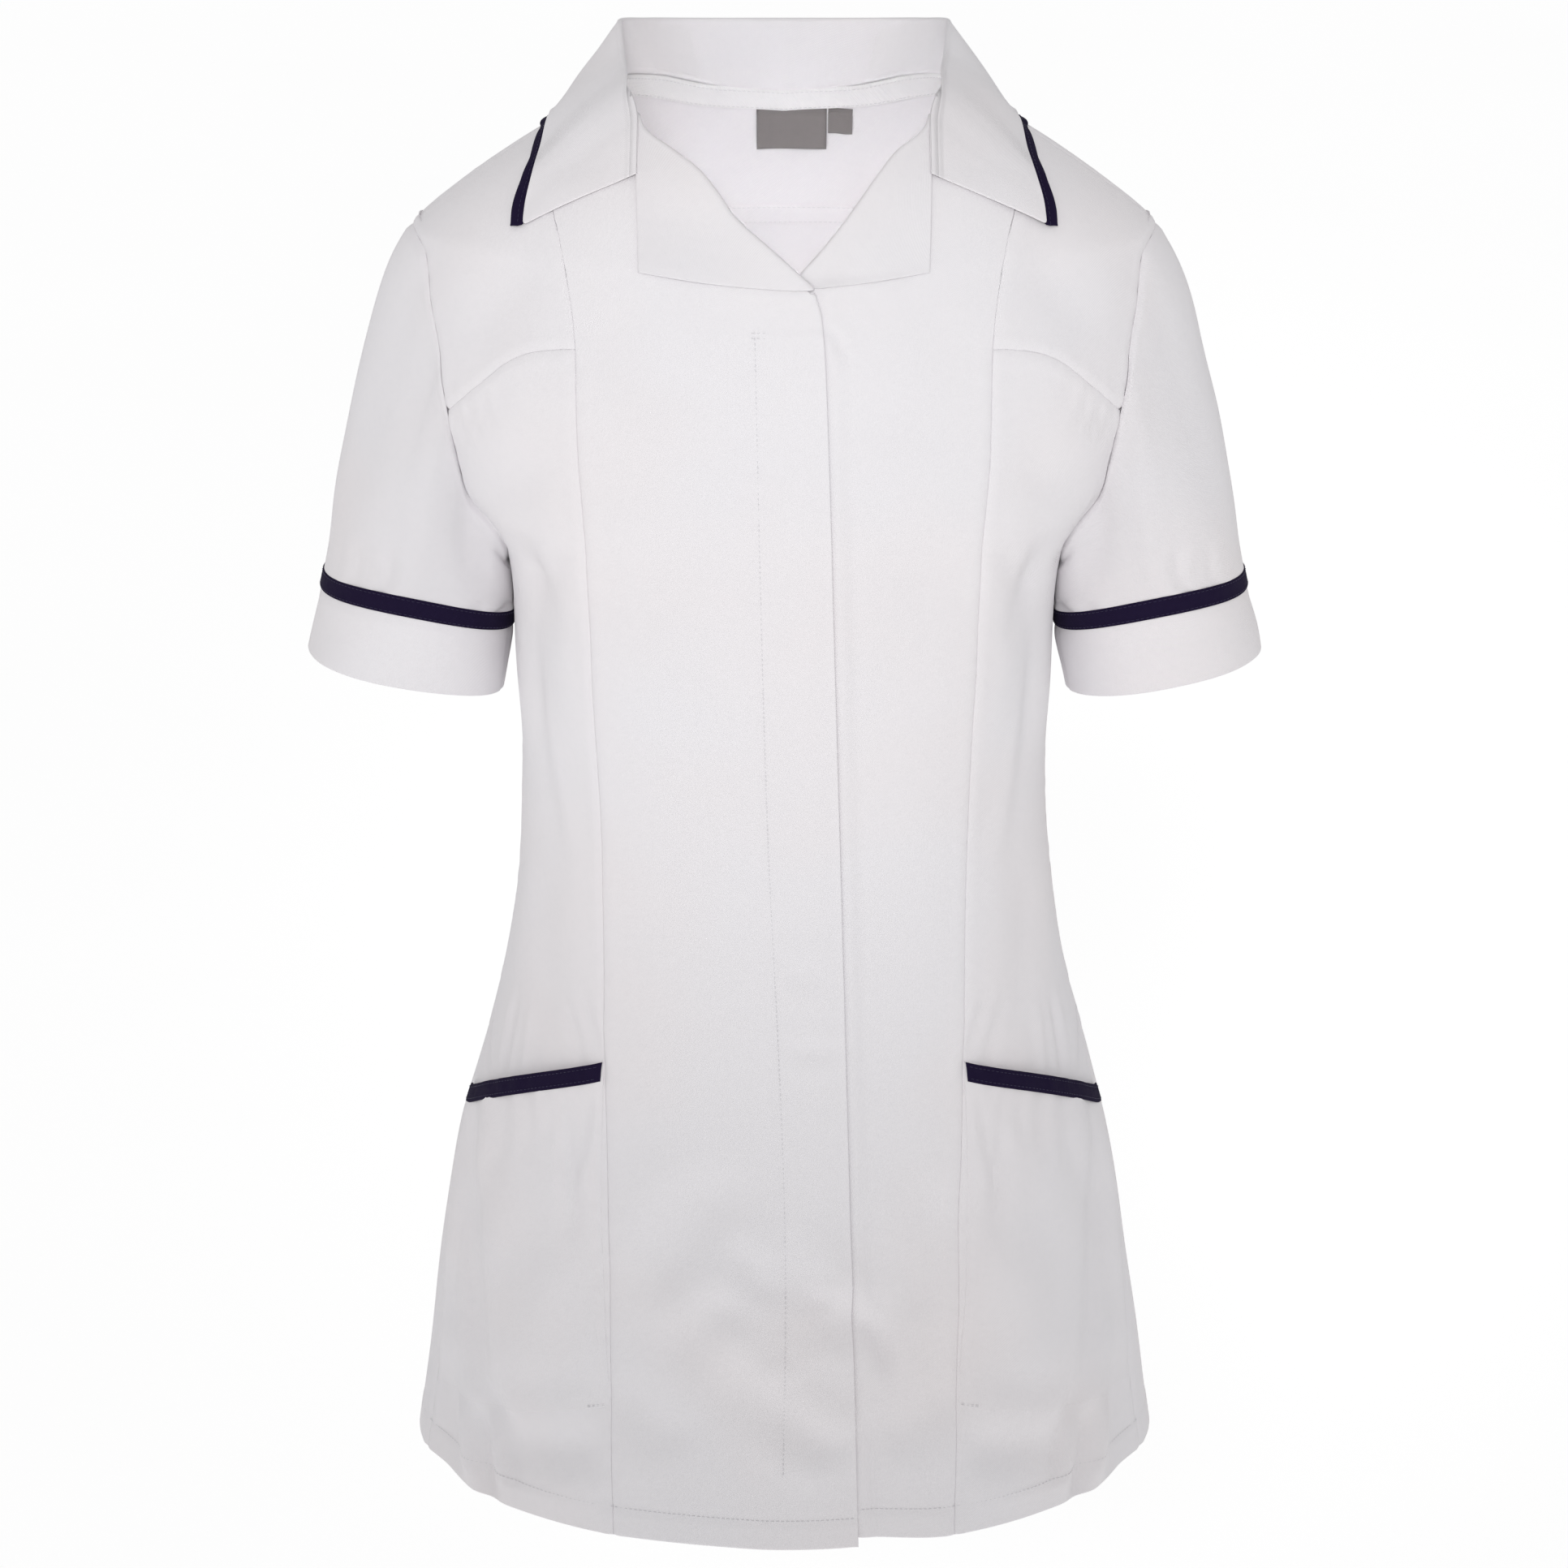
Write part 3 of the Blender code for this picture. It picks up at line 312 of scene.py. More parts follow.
FOLDS = [
    Fold(0.79, -0.690, 0.02, 0.070, 0.080, -0.0040),
    Fold(-0.79, -0.690, -0.02, 0.070, 0.080, -0.0040),
    Fold(0.30, -0.620, 0.10, 0.130, 0.110, -0.0022),
    Fold(-0.34, -0.600, -0.12, 0.140, 0.120, -0.0025),
    Fold(0.66, -0.330, 0.05, 0.110, 0.100, -0.0020),
    Fold(-0.66, -0.330, -0.05, 0.110, 0.100, -0.0020),
    Fold(1.45, -0.640, 0.05, 0.100, 0.130, 0.0045),
    Fold(-1.45, -0.640, -0.05, 0.100, 0.130, 0.0045),
    Fold(1.72, -0.660, 0.00, 0.090, 0.110, -0.0040),
    Fold(-1.72, -0.660, 0.00, 0.090, 0.110, -0.0040),
    Fold(1.60, -0.360, 0.20, 0.130, 0.060, -0.0030),
    Fold(-1.60, -0.360, -0.20, 0.130, 0.060, -0.0030),
]


class Sides(Enum):
    """Which sides of the wearer a crease is on."""

    BOTH = "both"
    LEFT = "left"
    RIGHT = "right"


class Crease(NamedTuple):
    """A soft trough (-) or ridge (+) between two places, each given as distance from the middle and height.

    bow is how far its middle bends sideways, and back is whether it lies on the back.
    """

    start: tuple[float, float]
    end: tuple[float, float]
    width: float
    depth: float
    bow: float = 0.0
    sides: Sides = Sides.BOTH
    back: bool = False


CREASES = [
    # puckers under the bust seam, where the cloth is eased in
    Crease((0.1575, -0.1490), (0.1490, -0.1650), 0.0022, -0.0008, 0.001),
    Crease((0.1525, -0.1425), (0.1440, -0.1600), 0.0024, -0.0010, 0.001),
    Crease((0.1460, -0.1360), (0.1385, -0.1530), 0.0026, -0.0008, 0.001),
    Crease((0.1380, -0.1285), (0.1320, -0.1420), 0.0030, -0.0006),
    # beside the armhole and over the bust
    Crease((0.1500, -0.1100), (0.1180, -0.0700), 0.0120, -0.0016, 0.004),
    Crease((0.1440, -0.1900), (0.1150, -0.1650), 0.0110, -0.0016, 0.003),
    Crease((0.1300, -0.2150), (0.1080, -0.2500), 0.0100, -0.0018, -0.004),
    Crease((0.1222, -0.1987), (0.1200, -0.3145), 0.0120, -0.0022, 0.003),
    Crease((0.1180, -0.2700), (0.1040, -0.3700), 0.0070, 0.0011, 0.002),
    Crease((0.1067, -0.2080), (0.1067, -0.2260), 0.0060, -0.0011),
    # the chest, above and below the reveres
    Crease((0.0850, -0.0950), (0.0520, -0.1350), 0.0160, -0.0015, 0.004, Sides.RIGHT),
    Crease((0.0800, -0.1000), (0.0500, -0.1500), 0.0180, -0.0014, 0.004, Sides.LEFT),
    Crease((0.0700, -0.2000), (0.0450, -0.2700), 0.0200, -0.0020, 0.005),
    # beside the front's edge
    Crease((0.0209, -0.0985), (0.0270, -0.1115), 0.0024, -0.0013, 0.002, Sides.LEFT),
    Crease((0.0235, -0.1150), (0.0408, -0.7050), 0.0034, 0.0014, 0.0, Sides.LEFT),
    Crease((0.0375, -0.5980), (0.0520, -0.6240), 0.0042, -0.0019, 0.003, Sides.LEFT),
    Crease((0.0400, -0.5850), (0.0440, -0.6400), 0.0045, 0.0012, 0.002, Sides.LEFT),
    Crease((0.0400, -0.6480), (0.0440, -0.6990), 0.0032, -0.0011, 0.002, Sides.LEFT),
    # the waist, and above the pockets' ends
    Crease((0.1470, -0.4700), (0.1490, -0.5030), 0.0034, -0.0016, 0.002),
    Crease((0.1334, -0.4600), (0.1406, -0.5000), 0.0036, -0.0016, 0.002),
    Crease((0.1260, -0.4600), (0.1300, -0.4980), 0.0040, 0.0010, 0.001),
    Crease((0.1003, -0.4430), (0.0924, -0.4710), 0.0032, -0.0016, -0.002),
    Crease((0.1090, -0.4500), (0.0990, -0.4780), 0.0040, -0.0013, -0.002),
    Crease((0.1200, -0.3900), (0.1150, -0.4600), 0.0120, -0.0015, 0.003),
    # low on the fronts
    Crease((-0.0010, -0.4207), (-0.0177, -0.4212), 0.0060, -0.0012, 0.001, Sides.RIGHT),
    Crease((-0.0016, -0.4597), (-0.0257, -0.4606), 0.0045, -0.0011, 0.001, Sides.RIGHT),
    Crease((0.0300, -0.5280), (0.0600, -0.5820), 0.0130, -0.0048, 0.003, Sides.RIGHT),
    Crease((0.0240, -0.5600), (0.0040, -0.5840), 0.0070, -0.0026, 0.002, Sides.RIGHT),
    Crease((-0.0008, -0.5660), (-0.0320, -0.6080), 0.0100, -0.0044, 0.003, Sides.RIGHT),
    Crease((-0.0140, -0.5850), (-0.0210, -0.5910), 0.0045, -0.0020, 0.000, Sides.RIGHT),
    Crease((0.0270, -0.5990), (-0.0010, -0.6270), 0.0110, 0.0036, 0.003, Sides.RIGHT),
    Crease((0.0060, -0.6430), (-0.0280, -0.6660), 0.0085, -0.0034, 0.002, Sides.RIGHT),
    Crease((0.0830, -0.6400), (0.0500, -0.6620), 0.0120, -0.0022, 0.004),
    Crease((0.0260, -0.5880), (0.0520, -0.6180), 0.0090, -0.0028, 0.003),
    Crease((0.0780, -0.5400), (0.0560, -0.6000), 0.0140, -0.0036, 0.004, Sides.LEFT),
    # beside the pockets, towards the side seams and the hem
    Crease((0.1560, -0.5500), (0.1500, -0.6750), 0.0100, -0.0042, 0.003),
    Crease((0.1480, -0.6600), (0.1360, -0.6960), 0.0080, -0.0034, 0.000),
    Crease((0.1560, -0.6750), (0.1490, -0.7140), 0.0060, -0.0048, 0.000),
    Crease((0.1660, -0.6750), (0.1610, -0.7080), 0.0060, 0.0022, 0.001),
    Crease((0.1360, -0.6800), (0.0940, -0.6700), 0.0100, -0.0034, 0.003),
    # the back, as uneven as the front
    Crease((0.1250, -0.2300), (0.0850, -0.3300), 0.0130, -0.0028, 0.006, Sides.BOTH, True),
    Crease((0.1200, -0.3500), (0.0500, -0.3900), 0.0110, -0.0027, 0.006, Sides.RIGHT, True),
    Crease((0.1150, -0.3650), (0.0450, -0.3800), 0.0120, -0.0029, -0.006, Sides.LEFT, True),
    Crease((0.0500, -0.1300), (0.1100, -0.1800), 0.0150, -0.0018, 0.006, Sides.BOTH, True),
    Crease((0.0200, -0.1500), (0.0350, -0.3300), 0.0200, -0.0020, 0.006, Sides.RIGHT, True),
    Crease((0.0150, -0.2200), (0.0300, -0.4000), 0.0180, -0.0018, -0.006, Sides.LEFT, True),
    Crease((0.0700, -0.4800), (0.0500, -0.6900), 0.0200, 0.0026, 0.006, Sides.RIGHT, True),
    Crease((0.0750, -0.5000), (0.0600, -0.7000), 0.0210, 0.0028, -0.006, Sides.LEFT, True),
    Crease((0.1300, -0.5000), (0.1250, -0.6300), 0.0120, -0.0022, 0.004, Sides.BOTH, True),
]


class Curve:
    """A smooth curve through one column of a table, with no overshoot between its rows."""

    def __init__(self, rows: Sequence[NamedTuple], column: str, at: str = "height") -> None:
        """Fits the curve.

        Args:
            rows: the table.
            column: the column that the curve follows.
            at: the column that it runs along.
        """
        pairs = sorted((getattr(row, at), getattr(row, column)) for row in rows)
        self.at = np.array([pair[0] for pair in pairs])
        self.value = np.array([pair[1] for pair in pairs])
        slope = np.diff(self.value) / np.diff(self.at)
        before, after = slope[:-1], slope[1:]
        same_way = before * after > 0
        total = np.where(same_way, before + after, 1.0)
        middle = np.where(same_way, 2 * before * after / total, 0.0)
        self.lean = np.concatenate([slope[:1], middle, slope[-1:]])

    def __call__(self, x: Points) -> Points:
        """The curve's value at each x, held level past its ends."""
        x = np.clip(np.asarray(x, float), self.at[0], self.at[-1])
        i = np.clip(np.searchsorted(self.at, x) - 1, 0, len(self.at) - 2)
        gap = self.at[i + 1] - self.at[i]
        t = (x - self.at[i]) / gap
        start = self.value[i] * (1 + 2 * t) * (1 - t) ** 2 + self.lean[i] * gap * t * (1 - t) ** 2
        end = self.value[i + 1] * t * t * (3 - 2 * t) - self.lean[i + 1] * gap * t * t * (1 - t)
        return start + end


def ease(t: Points) -> Points:
    """0 up to t = 0, 1 from t = 1, and smooth between."""
    t = np.clip(t, 0, 1)
    return t * t * (3 - 2 * t)


def unit(vectors: Points) -> Points:
    """The vectors at length 1."""
    return vectors / np.maximum(np.linalg.norm(vectors, axis=-1, keepdims=True), 1e-12)


def rows_of(*columns: Points) -> Points:
    """The columns side by side as rows of points."""
    return np.stack(np.broadcast_arrays(*columns), axis=-1).astype(float)


def ripple(points: Points, length: float, seed: int) -> Points:
    """Smooth unevenness between about -1 and 1, the same at each run.

    Args:
        points: places in metres, with any number of axes.
        length: about how far apart its waves are.
        seed: picks one pattern of waves.
    """
    random = np.random.default_rng(seed)
    total = np.zeros(points.shape[:-1])
    for _ in range(7):
        way = unit(random.normal(size=points.shape[-1]))
        pitch = 2 * math.pi / (length * random.uniform(0.75, 1.6))
        total += np.sin(points @ way * pitch + random.uniform(0, 2 * math.pi))
    return total / 3.2


@dataclass
class WornForm:
    """The shape of the worn tunic.

    turn runs evenly along the cloth: 0 at centre front, 1 at the wearer's left side, 2 at centre back, and 3
    or -1 at the right side.
    """

    levels: Sequence[Level]
    folds: Sequence[Fold]
    creases: Sequence[Crease]
    quarter: Points = field(default_factory=lambda: np.linspace(0, math.pi / 2, 97))
    unevenness: float = 0.0006

    def __post_init__(self) -> None:
        """Fits the curves that the sections follow."""
        self.half_width = Curve(self.levels, "half_width")
        self.depth = {False: Curve(self.levels, "front"), True: Curve(self.levels, "back")}
        self.square = {False: Curve(self.levels, "front_square"), True: Curve(self.levels, "back_square")}

    def section(self, height: Points, back: Points) -> tuple[Points, Points, Points]:
        """Half width, depth and squareness of the front or back half section at each height."""
        depth = np.where(back, self.depth[True](height), self.depth[False](height))
        square = np.where(back, self.square[True](height), self.square[False](height))
        return self.half_width(height), depth, square

    def quarter_run(self, height: Points, back: Points) -> Points:
        """The running length along a quarter of each section, from the middle to the side."""
        a, b, n = (value[..., None] for value in self.section(height, back))
        x = a * np.sin(self.quarter)
        y = b * np.clip(1 - np.sin(self.quarter) ** n, 0, 1) ** (1 / n)
        step = np.hypot(np.diff(x, axis=-1), np.diff(y, axis=-1))
        return np.concatenate([np.zeros_like(a), np.cumsum(step, axis=-1)], axis=-1)

    def smooth(self, turn: Points, height: Points) -> Points:
        """Points on the form itself."""
        turn, height = np.broadcast_arrays(np.asarray(turn, float), np.asarray(height, float))
        turn = (turn + 2) % 4 - 2
        away = np.abs(turn)
        back = away > 1
        a, b, n = self.section(height, back)
        run = self.quarter_run(height, back)
        want = (np.where(back, 2 - away, away) * run[..., -1])[..., None]
        i = np.clip((run < want).sum(-1) - 1, 0, run.shape[-1] - 2)
        low = np.take_along_axis(run, i[..., None], -1)[..., 0]
        high = np.take_along_axis(run, i[..., None] + 1, -1)[..., 0]
        angle = self.quarter[i] + (want[..., 0] - low) / np.maximum(high - low, 1e-12) * self.quarter[1]
        x = a * np.sin(angle) * np.sign(turn)
        y = b * np.clip(1 - np.sin(angle) ** n, 0, 1) ** (1 / n)
        return np.stack([x, np.where(back, y, -y), height], axis=-1)

    def turn_at(self, x: Points, height: Points, back: bool = False) -> Points:
        """The turn of the point at distance x from the middle, negative where x is."""
        x, height = np.broadcast_arrays(np.asarray(x, float), np.asarray(height, float))
        run = self.quarter_run(height, back)
        share = np.arcsin(np.clip(np.abs(x) / self.half_width(height), 0, 1)) / self.quarter[1]
        low = np.clip(share.astype(int), 0, len(self.quarter) - 2)
        first = np.take_along_axis(run, low[..., None], -1)[..., 0]
        second = np.take_along_axis(run, low[..., None] + 1, -1)[..., 0]
        share = (first + (share - low) * (second - first)) / run[..., -1]
        return np.sign(x) * (2 - share if back else share)

    def as_turns(self, points: Points) -> Points:
        """Points given by distances from the middle and heights, as turns and heights."""
        return rows_of(self.turn_at(points[..., 0], points[..., 1]), points[..., 1])

    def as_distances(self, points: Points) -> Points:
        """Points given by turns and heights, as distances from the middle and heights."""
        return rows_of(self.smooth(points[..., 0], points[..., 1])[..., 0], points[..., 1])

    def around(self, turn: Points, height: Points, back: bool) -> Points:
        """The signed length along the cloth from centre front, or from centre back."""
        turn = (turn + 2) % 4 - 2
        side = np.sign(turn)
        front_run = self.quarter_run(height, False)[..., -1]
        back_run = self.quarter_run(height, True)[..., -1]
        away = np.abs(turn)
        if back:
            away = 2 - away
            front_run, back_run = back_run, front_run
        return side * (np.minimum(away, 1) * front_run + np.maximum(away - 1, 0) * back_run)

    def relief(self, turn: Points, height: Points) -> Points:
        """How far the folds, creases and unevenness lift the cloth off the form."""
        lift = np.zeros(np.broadcast(turn, height).shape)
        for fold in self.folds:
            line = fold.turn + fold.lean * (height - fold.height) / fold.reach
            beside = ((turn - line + 2) % 4 - 2) / fold.half_width
            along = (height - fold.height) / fold.reach
            lift = lift + fold.depth * np.exp(-(beside**2) - along**2)
        places = {back: self.around(turn, height, back) for back in (False, True)}
        for crease in self.creases:
            ends = []
            for x, level in (crease.start, crease.end):
                place = self.turn_at(x, level, crease.back)
                ends.append(np.array([self.around(place, np.array(level), crease.back), level]))
            across = places[crease.back]
            if crease.sides is Sides.BOTH:
                across = np.abs(across)
            elif crease.sides is Sides.RIGHT:
                across = -across
            shape = crease.width, crease.depth, crease.bow
            lift = lift + crease_lift(rows_of(across, height), *ends, *shape)
        wide = ripple(self.smooth(turn, height), 0.085, 5)
        return lift + self.unevenness * wide

    def normal(self, turn: Points, height: Points) -> Points:
        """The way out of the form."""
        step = 1e-4
        around = self.smooth(turn + step, height) - self.smooth(turn - step, height)
        up = self.smooth(turn, height + step) - self.smooth(turn, height - step)
        return unit(np.cross(around, up))

    def on(self, turn: Points, height: Points, out: Points = 0.0) -> Points:
        """Points on the creased cloth, moved out by a distance."""
        turn, height, out = np.broadcast_arrays(turn, height, out)
        lift = (out + self.relief(turn, height))[..., None]
        return self.smooth(turn, height) + self.normal(turn, height) * lift

    def distance_out(self, points: Points) -> tuple[Points, Points]:
        """How far points are from the form, and which way is out. It is good near the form."""

        def level(x: Points, y: Points, z: Points) -> Points:
            """0 on the form, and more outside it."""
            a, b, n = self.section(z, y > 0)
            return (np.abs(x) / a) ** n + (np.abs(y) / b) ** n - 1

        x, y, z = np.moveaxis(points, -1, 0)
        step = 1e-5
        slope = [
            level(x + step, y, z) - level(x - step, y, z),
            level(x, y + step, z) - level(x, y - step, z),
            level(x, y, z + step) - level(x, y, z - step),
        ]
        slope = np.stack(slope, axis=-1) / (2 * step)
        steep = np.linalg.norm(slope, axis=-1)
        return level(x, y, z) / steep, slope / steep[..., None]

    def clear(self, points: Points, gap: Points, inward: bool = False) -> Points:
        """The points, with any nearer the form than gap moved out to it.

        Args:
            points: places near the form.
            gap: the distance that each has to keep.
            inward: whether points farther out are moved in to it too.
        """
        for _ in range(3):
            distance, out = self.distance_out(points)
            move = gap - distance if inward else np.maximum(gap - distance, 0)
            points = points + out * move[..., None]
        return points


def crease_lift(
    places: Points, start: Points, end: Points, width: float, depth: float, bow: float
) -> Points:
    """How far one crease lifts each place.

    Args:
        places: lengths along and up the cloth.
        start: where the crease starts, in the same lengths.
        end: where it ends.
        width: about half its width.
        depth: how high it stands, or how deep it is where that is negative.
        bow: how far its middle bends sideways.

    Returns:
        The lift, which fades at the crease's ends and leaves a low rim beside it.
    """
    way = end - start
    length = float(np.linalg.norm(way))
    way = way / length
    gap = places - start
    part = gap @ way / length
    bend = np.clip(part, 0, 1)
    beside = gap @ np.array([-way[1], way[0]]) - bow * 4 * bend * (1 - bend)
    beside = beside / width
    fade = ease((part + 0.25) / 0.5) * ease((1.25 - part) / 0.5)
    rim = RIM_SHARE * np.exp(-((np.abs(beside) - RIM_AT) ** 2))
    return depth * fade * (np.exp(-(beside**2)) - rim)


FORM = WornForm(LEVELS, FOLDS, CREASES)
ARMHOLE_SHARE = {False: Curve(ARMHOLE, "front_share"), True: Curve(ARMHOLE, "back_share")}
PRINCESS_X = Curve(PRINCESS, "x")
BUST_SEAM_X = Curve(BUST_SEAM, "x")
FRONT_EDGE_X = Curve(FRONT_EDGE, "x")
SIDE_SEAM_TURN = Curve(SIDE_SEAM, "x")


def along(points: Points, share: Points) -> Points:
    """Points at shares of the way along a side. One turn counts as much as 0.18 m of height."""
    scale = np.array([0.18, 1.0]) if points.shape[1] == 2 else 1.0
    run = np.concatenate([[0], np.cumsum(np.linalg.norm(np.diff(points * scale, axis=0), axis=1))])
    return np.stack([np.interp(np.asarray(share) * run[-1], run, column) for column in points.T], axis=-1)


def between(top: Points, bottom: Points, first: Points, last: Points, p: Points, q: Points) -> Points:
    """Points across a four-sided panel.

    Args:
        top: points along its upper side.
        bottom: points along its lower side.
        first: points down the side where p is 0.
        last: points down the side where p is 1.
        p: shares of the way across, for each point.
        q: shares of the way down, for each point.
    """
    p, q = np.broadcast_arrays(p, q)
    across, down = p[..., None], q[..., None]
    sides = (1 - across) * along(first, q) + across * along(last, q)
    sides = sides + (1 - down) * along(top, p) + down * along(bottom, p)
    upper = (1 - across) * top[0] + across * top[-1]
    lower = (1 - across) * bottom[0] + across * bottom[-1]
    return sides - (1 - down) * upper - down * lower


class Edge(Enum):
    """How a side of a sheet is finished."""

    SEAM = "seam"
    FOLD = "fold"
    CUT = "cut"


ALL_FOLDED = {side: Edge.FOLD for side in ("top", "bottom", "first", "last")}
TOP_TUCKED = ALL_FOLDED | {"top": Edge.CUT}


def shares(length: float, start: Edge, end: Edge, step: float = GRID_STEP) -> Points:
    """Shares of a length, close together near seams and folds.

    Args:
        length: the length in metres.
        start: how the sheet ends there.
        end: how it ends at the other side.
        step: how far apart the rows are in the middle.
    """
    fine = np.array(FINE_STEPS) / length
    low = fine if start is not Edge.CUT else fine[:1]
    high = 1 - fine[::-1] if end is not Edge.CUT else 1 - fine[:1]
    count = max(int((high[0] - low[-1]) * length / step), 2)
    return np.concatenate([low, np.linspace(low[-1], high[0], count + 1)[1:-1], high])


def mesh_object(
    name: str, points: Points, faces: Points, uv: Optional[Points], material: Material
) -> Piece:
    """A smooth mesh in the scene.

    Args:
        name: the piece's name.
        points: its points.
        faces: four point numbers for each face.
        uv: a place on the flat cloth for each corner of each face, in metres.
        material: its finish.
    """
    mesh = bpy.data.meshes.new(name)
    mesh.vertices.add(len(points))
    mesh.vertices.foreach_set("co", points.astype(np.float32).ravel())
    mesh.loops.add(faces.size)
    mesh.loops.foreach_set("vertex_index", faces.astype(np.int32).ravel())
    mesh.polygons.add(len(faces))
    mesh.polygons.foreach_set("loop_start", np.arange(0, faces.size, 4, dtype=np.int32))
    if uv is not None:
        layer = mesh.uv_layers.new(name="flat_cloth")
        layer.data.foreach_set("uv", uv.astype(np.float32).ravel())
    mesh.materials.append(material)
    mesh.update(calc_edges=True)
    mesh.validate()
    mesh.shade_smooth()
    piece = bpy.data.objects.new(name, mesh)
    bpy.context.scene.collection.objects.link(piece)
    return piece


def shell(outer: Points, inner: Points, closed: bool) -> tuple[Points, Points]:
    """The points and faces of a closed shell between two grids.

    Args:
        outer: rows of points on one face.
        inner: the same rows on the other face.
        closed: whether the last column joins the first.
    """
    rows, columns = outer.shape[:2]
    number = np.arange(rows * columns).reshape(rows, columns)
    if closed:
        number = np.concatenate([number, number[:, :1]], axis=1)
    corners = number[:-1, :-1], number[1:, :-1], number[1:, 1:], number[:-1, 1:]
    front = np.stack(corners, axis=-1).reshape(-1, 4)
    count = rows * columns
    rims = [(number[0, :-1], number[0, 1:]), (number[-1, 1:], number[-1, :-1])]
    if not closed:
        rims += [(number[1:, 0], number[:-1, 0]), (number[:-1, -1], number[1:, -1])]
    rim = [np.stack([a, b, b + count, a + count], axis=-1) for a, b in rims]
    points = np.concatenate([outer, inner]).reshape(-1, outer.shape[-1])
    return points, np.concatenate([front, front[:, ::-1] + count, *rim])


@dataclass
class Sheet:
    """One sheet of cloth: rows of points on its face, with a thickness and finished sides."""

    name: str
    face: Points
    normals: Points
    finish: Material
    slot: str
    thickness: float = CLOTH
    top: Edge = Edge.SEAM
    bottom: Edge = Edge.SEAM
    first: Edge = Edge.SEAM
    last: Edge = Edge.SEAM
    closed: bool = False
    pucker: float = 0.00012
    dip: float = SEAM_DIP
    seed: int = 1
    allowance: Optional[tuple[Points, Points]] = None
    places: Optional[Points] = None
    turned_under: float = 0.0

    def lengths(self, axis: int) -> Points:
        """The running length from one side to each point, along rows (1) or columns (0)."""
        step = np.linalg.norm(np.diff(self.face, axis=axis), axis=-1)
        pad = [(1, 0), (0, 0)] if axis == 0 else [(0, 0), (1, 0)]
        return np.pad(np.cumsum(step, axis=axis), pad)

    def flat(self) -> tuple[float, float, float]:
        """The sheet's width, length and area before it was hung, from its smooth face."""
        across, down = self.lengths(1), self.lengths(0)
        diagonal = np.cross(self.face[1:, 1:] - self.face[:-1, :-1], self.face[1:, :-1] - self.face[:-1, 1:])
        area = float(np.linalg.norm(diagonal, axis=-1).sum() / 2)
        width, length = float(across[:, -1].max()), float(down[-1].max()) + self.turned_under
        if self.closed:
            closing = np.linalg.norm(self.face[:, 0] - self.face[:, -1], axis=-1)
            area += float((closing[1:] * np.diff(down[:, 0])).sum())
            width += float(closing.max())
        return width, length, min(area, width * length)

    def flat_places(self) -> Points:
        """Where each point lies on the flat cloth. A closed sheet's last column is its first one again."""
        if self.places is not None:
            return self.places
        across, down = self.lengths(1), self.lengths(0)
        if self.closed:
            closing = np.linalg.norm(self.face[:, 0] - self.face[:, -1], axis=-1)
            across = np.concatenate([across, across[:, -1:] + closing[:, None]], axis=1)
            down = np.concatenate([down, down[:, :1]], axis=1)
        middle = across.shape[1] // 2
        return rows_of(across - across[:, middle : middle + 1], -down)

    def shape(self) -> tuple[Points, Points]:
        """The outer and inner faces, with seams turned in and folds rounded."""
        across, down = self.lengths(1), self.lengths(0)
        gaps = {
            "top": down,
            "bottom": down[-1:] - down,
            "first": across,
            "last": across[:, -1:] - across,
        }
        drop = np.zeros(across.shape)
        fullness = np.ones(across.shape)
        for side, gap in gaps.items():
            edge = getattr(self, side)
            if self.closed and side in ("first", "last"):
                continue
            if edge is Edge.SEAM:
                runs_down = side in ("first", "last")
                run = down if runs_down else across
                waves = ripple(run[..., None], 0.011, self.seed + 3) * self.pucker
                drop = drop + self.dip * np.clip(1 - gap / SEAM_ROLL, 0, 1) ** 2
                drop = drop - SEAM_PUFF * np.exp(-(((gap - 0.0048) / 0.0022) ** 2))
                drop = drop + waves * np.exp(-((gap / 0.007) ** 2)) * (gap > 0)
            elif edge is Edge.FOLD:
                near = np.clip(gap / (self.thickness * 0.7), 0, 1)
                fullness = np.minimum(fullness, np.sqrt(1 - (1 - near) ** 2))
        fullness = np.maximum(fullness, 0.12)
        middle = self.face - self.normals * (drop + self.thickness / 2)[..., None]
        half = self.normals * (fullness * self.thickness / 2)[..., None]
        return middle + half, middle - half

    def build(self) -> Piece:
        points, faces = shell(*self.shape(), self.closed)
        flat, corners = shell(self.flat_places(), self.flat_places(), False)
        flat = flat[corners[: len(faces)].ravel()]
        if self.allowance is not None:
            more, more_faces = shell(*self.allowance, self.closed)
            faces = np.concatenate([faces, more_faces + len(points)])
            points = np.concatenate([points, more])
            flat = np.concatenate([flat, more[more_faces.ravel()][:, [0, 2]]])
        piece = mesh_object(self.name + "_cloth", points, faces, flat, self.finish)
        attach(piece, "root")
        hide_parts(self.name)
        log.info("%s: %d faces", piece.name, len(faces))
        return piece


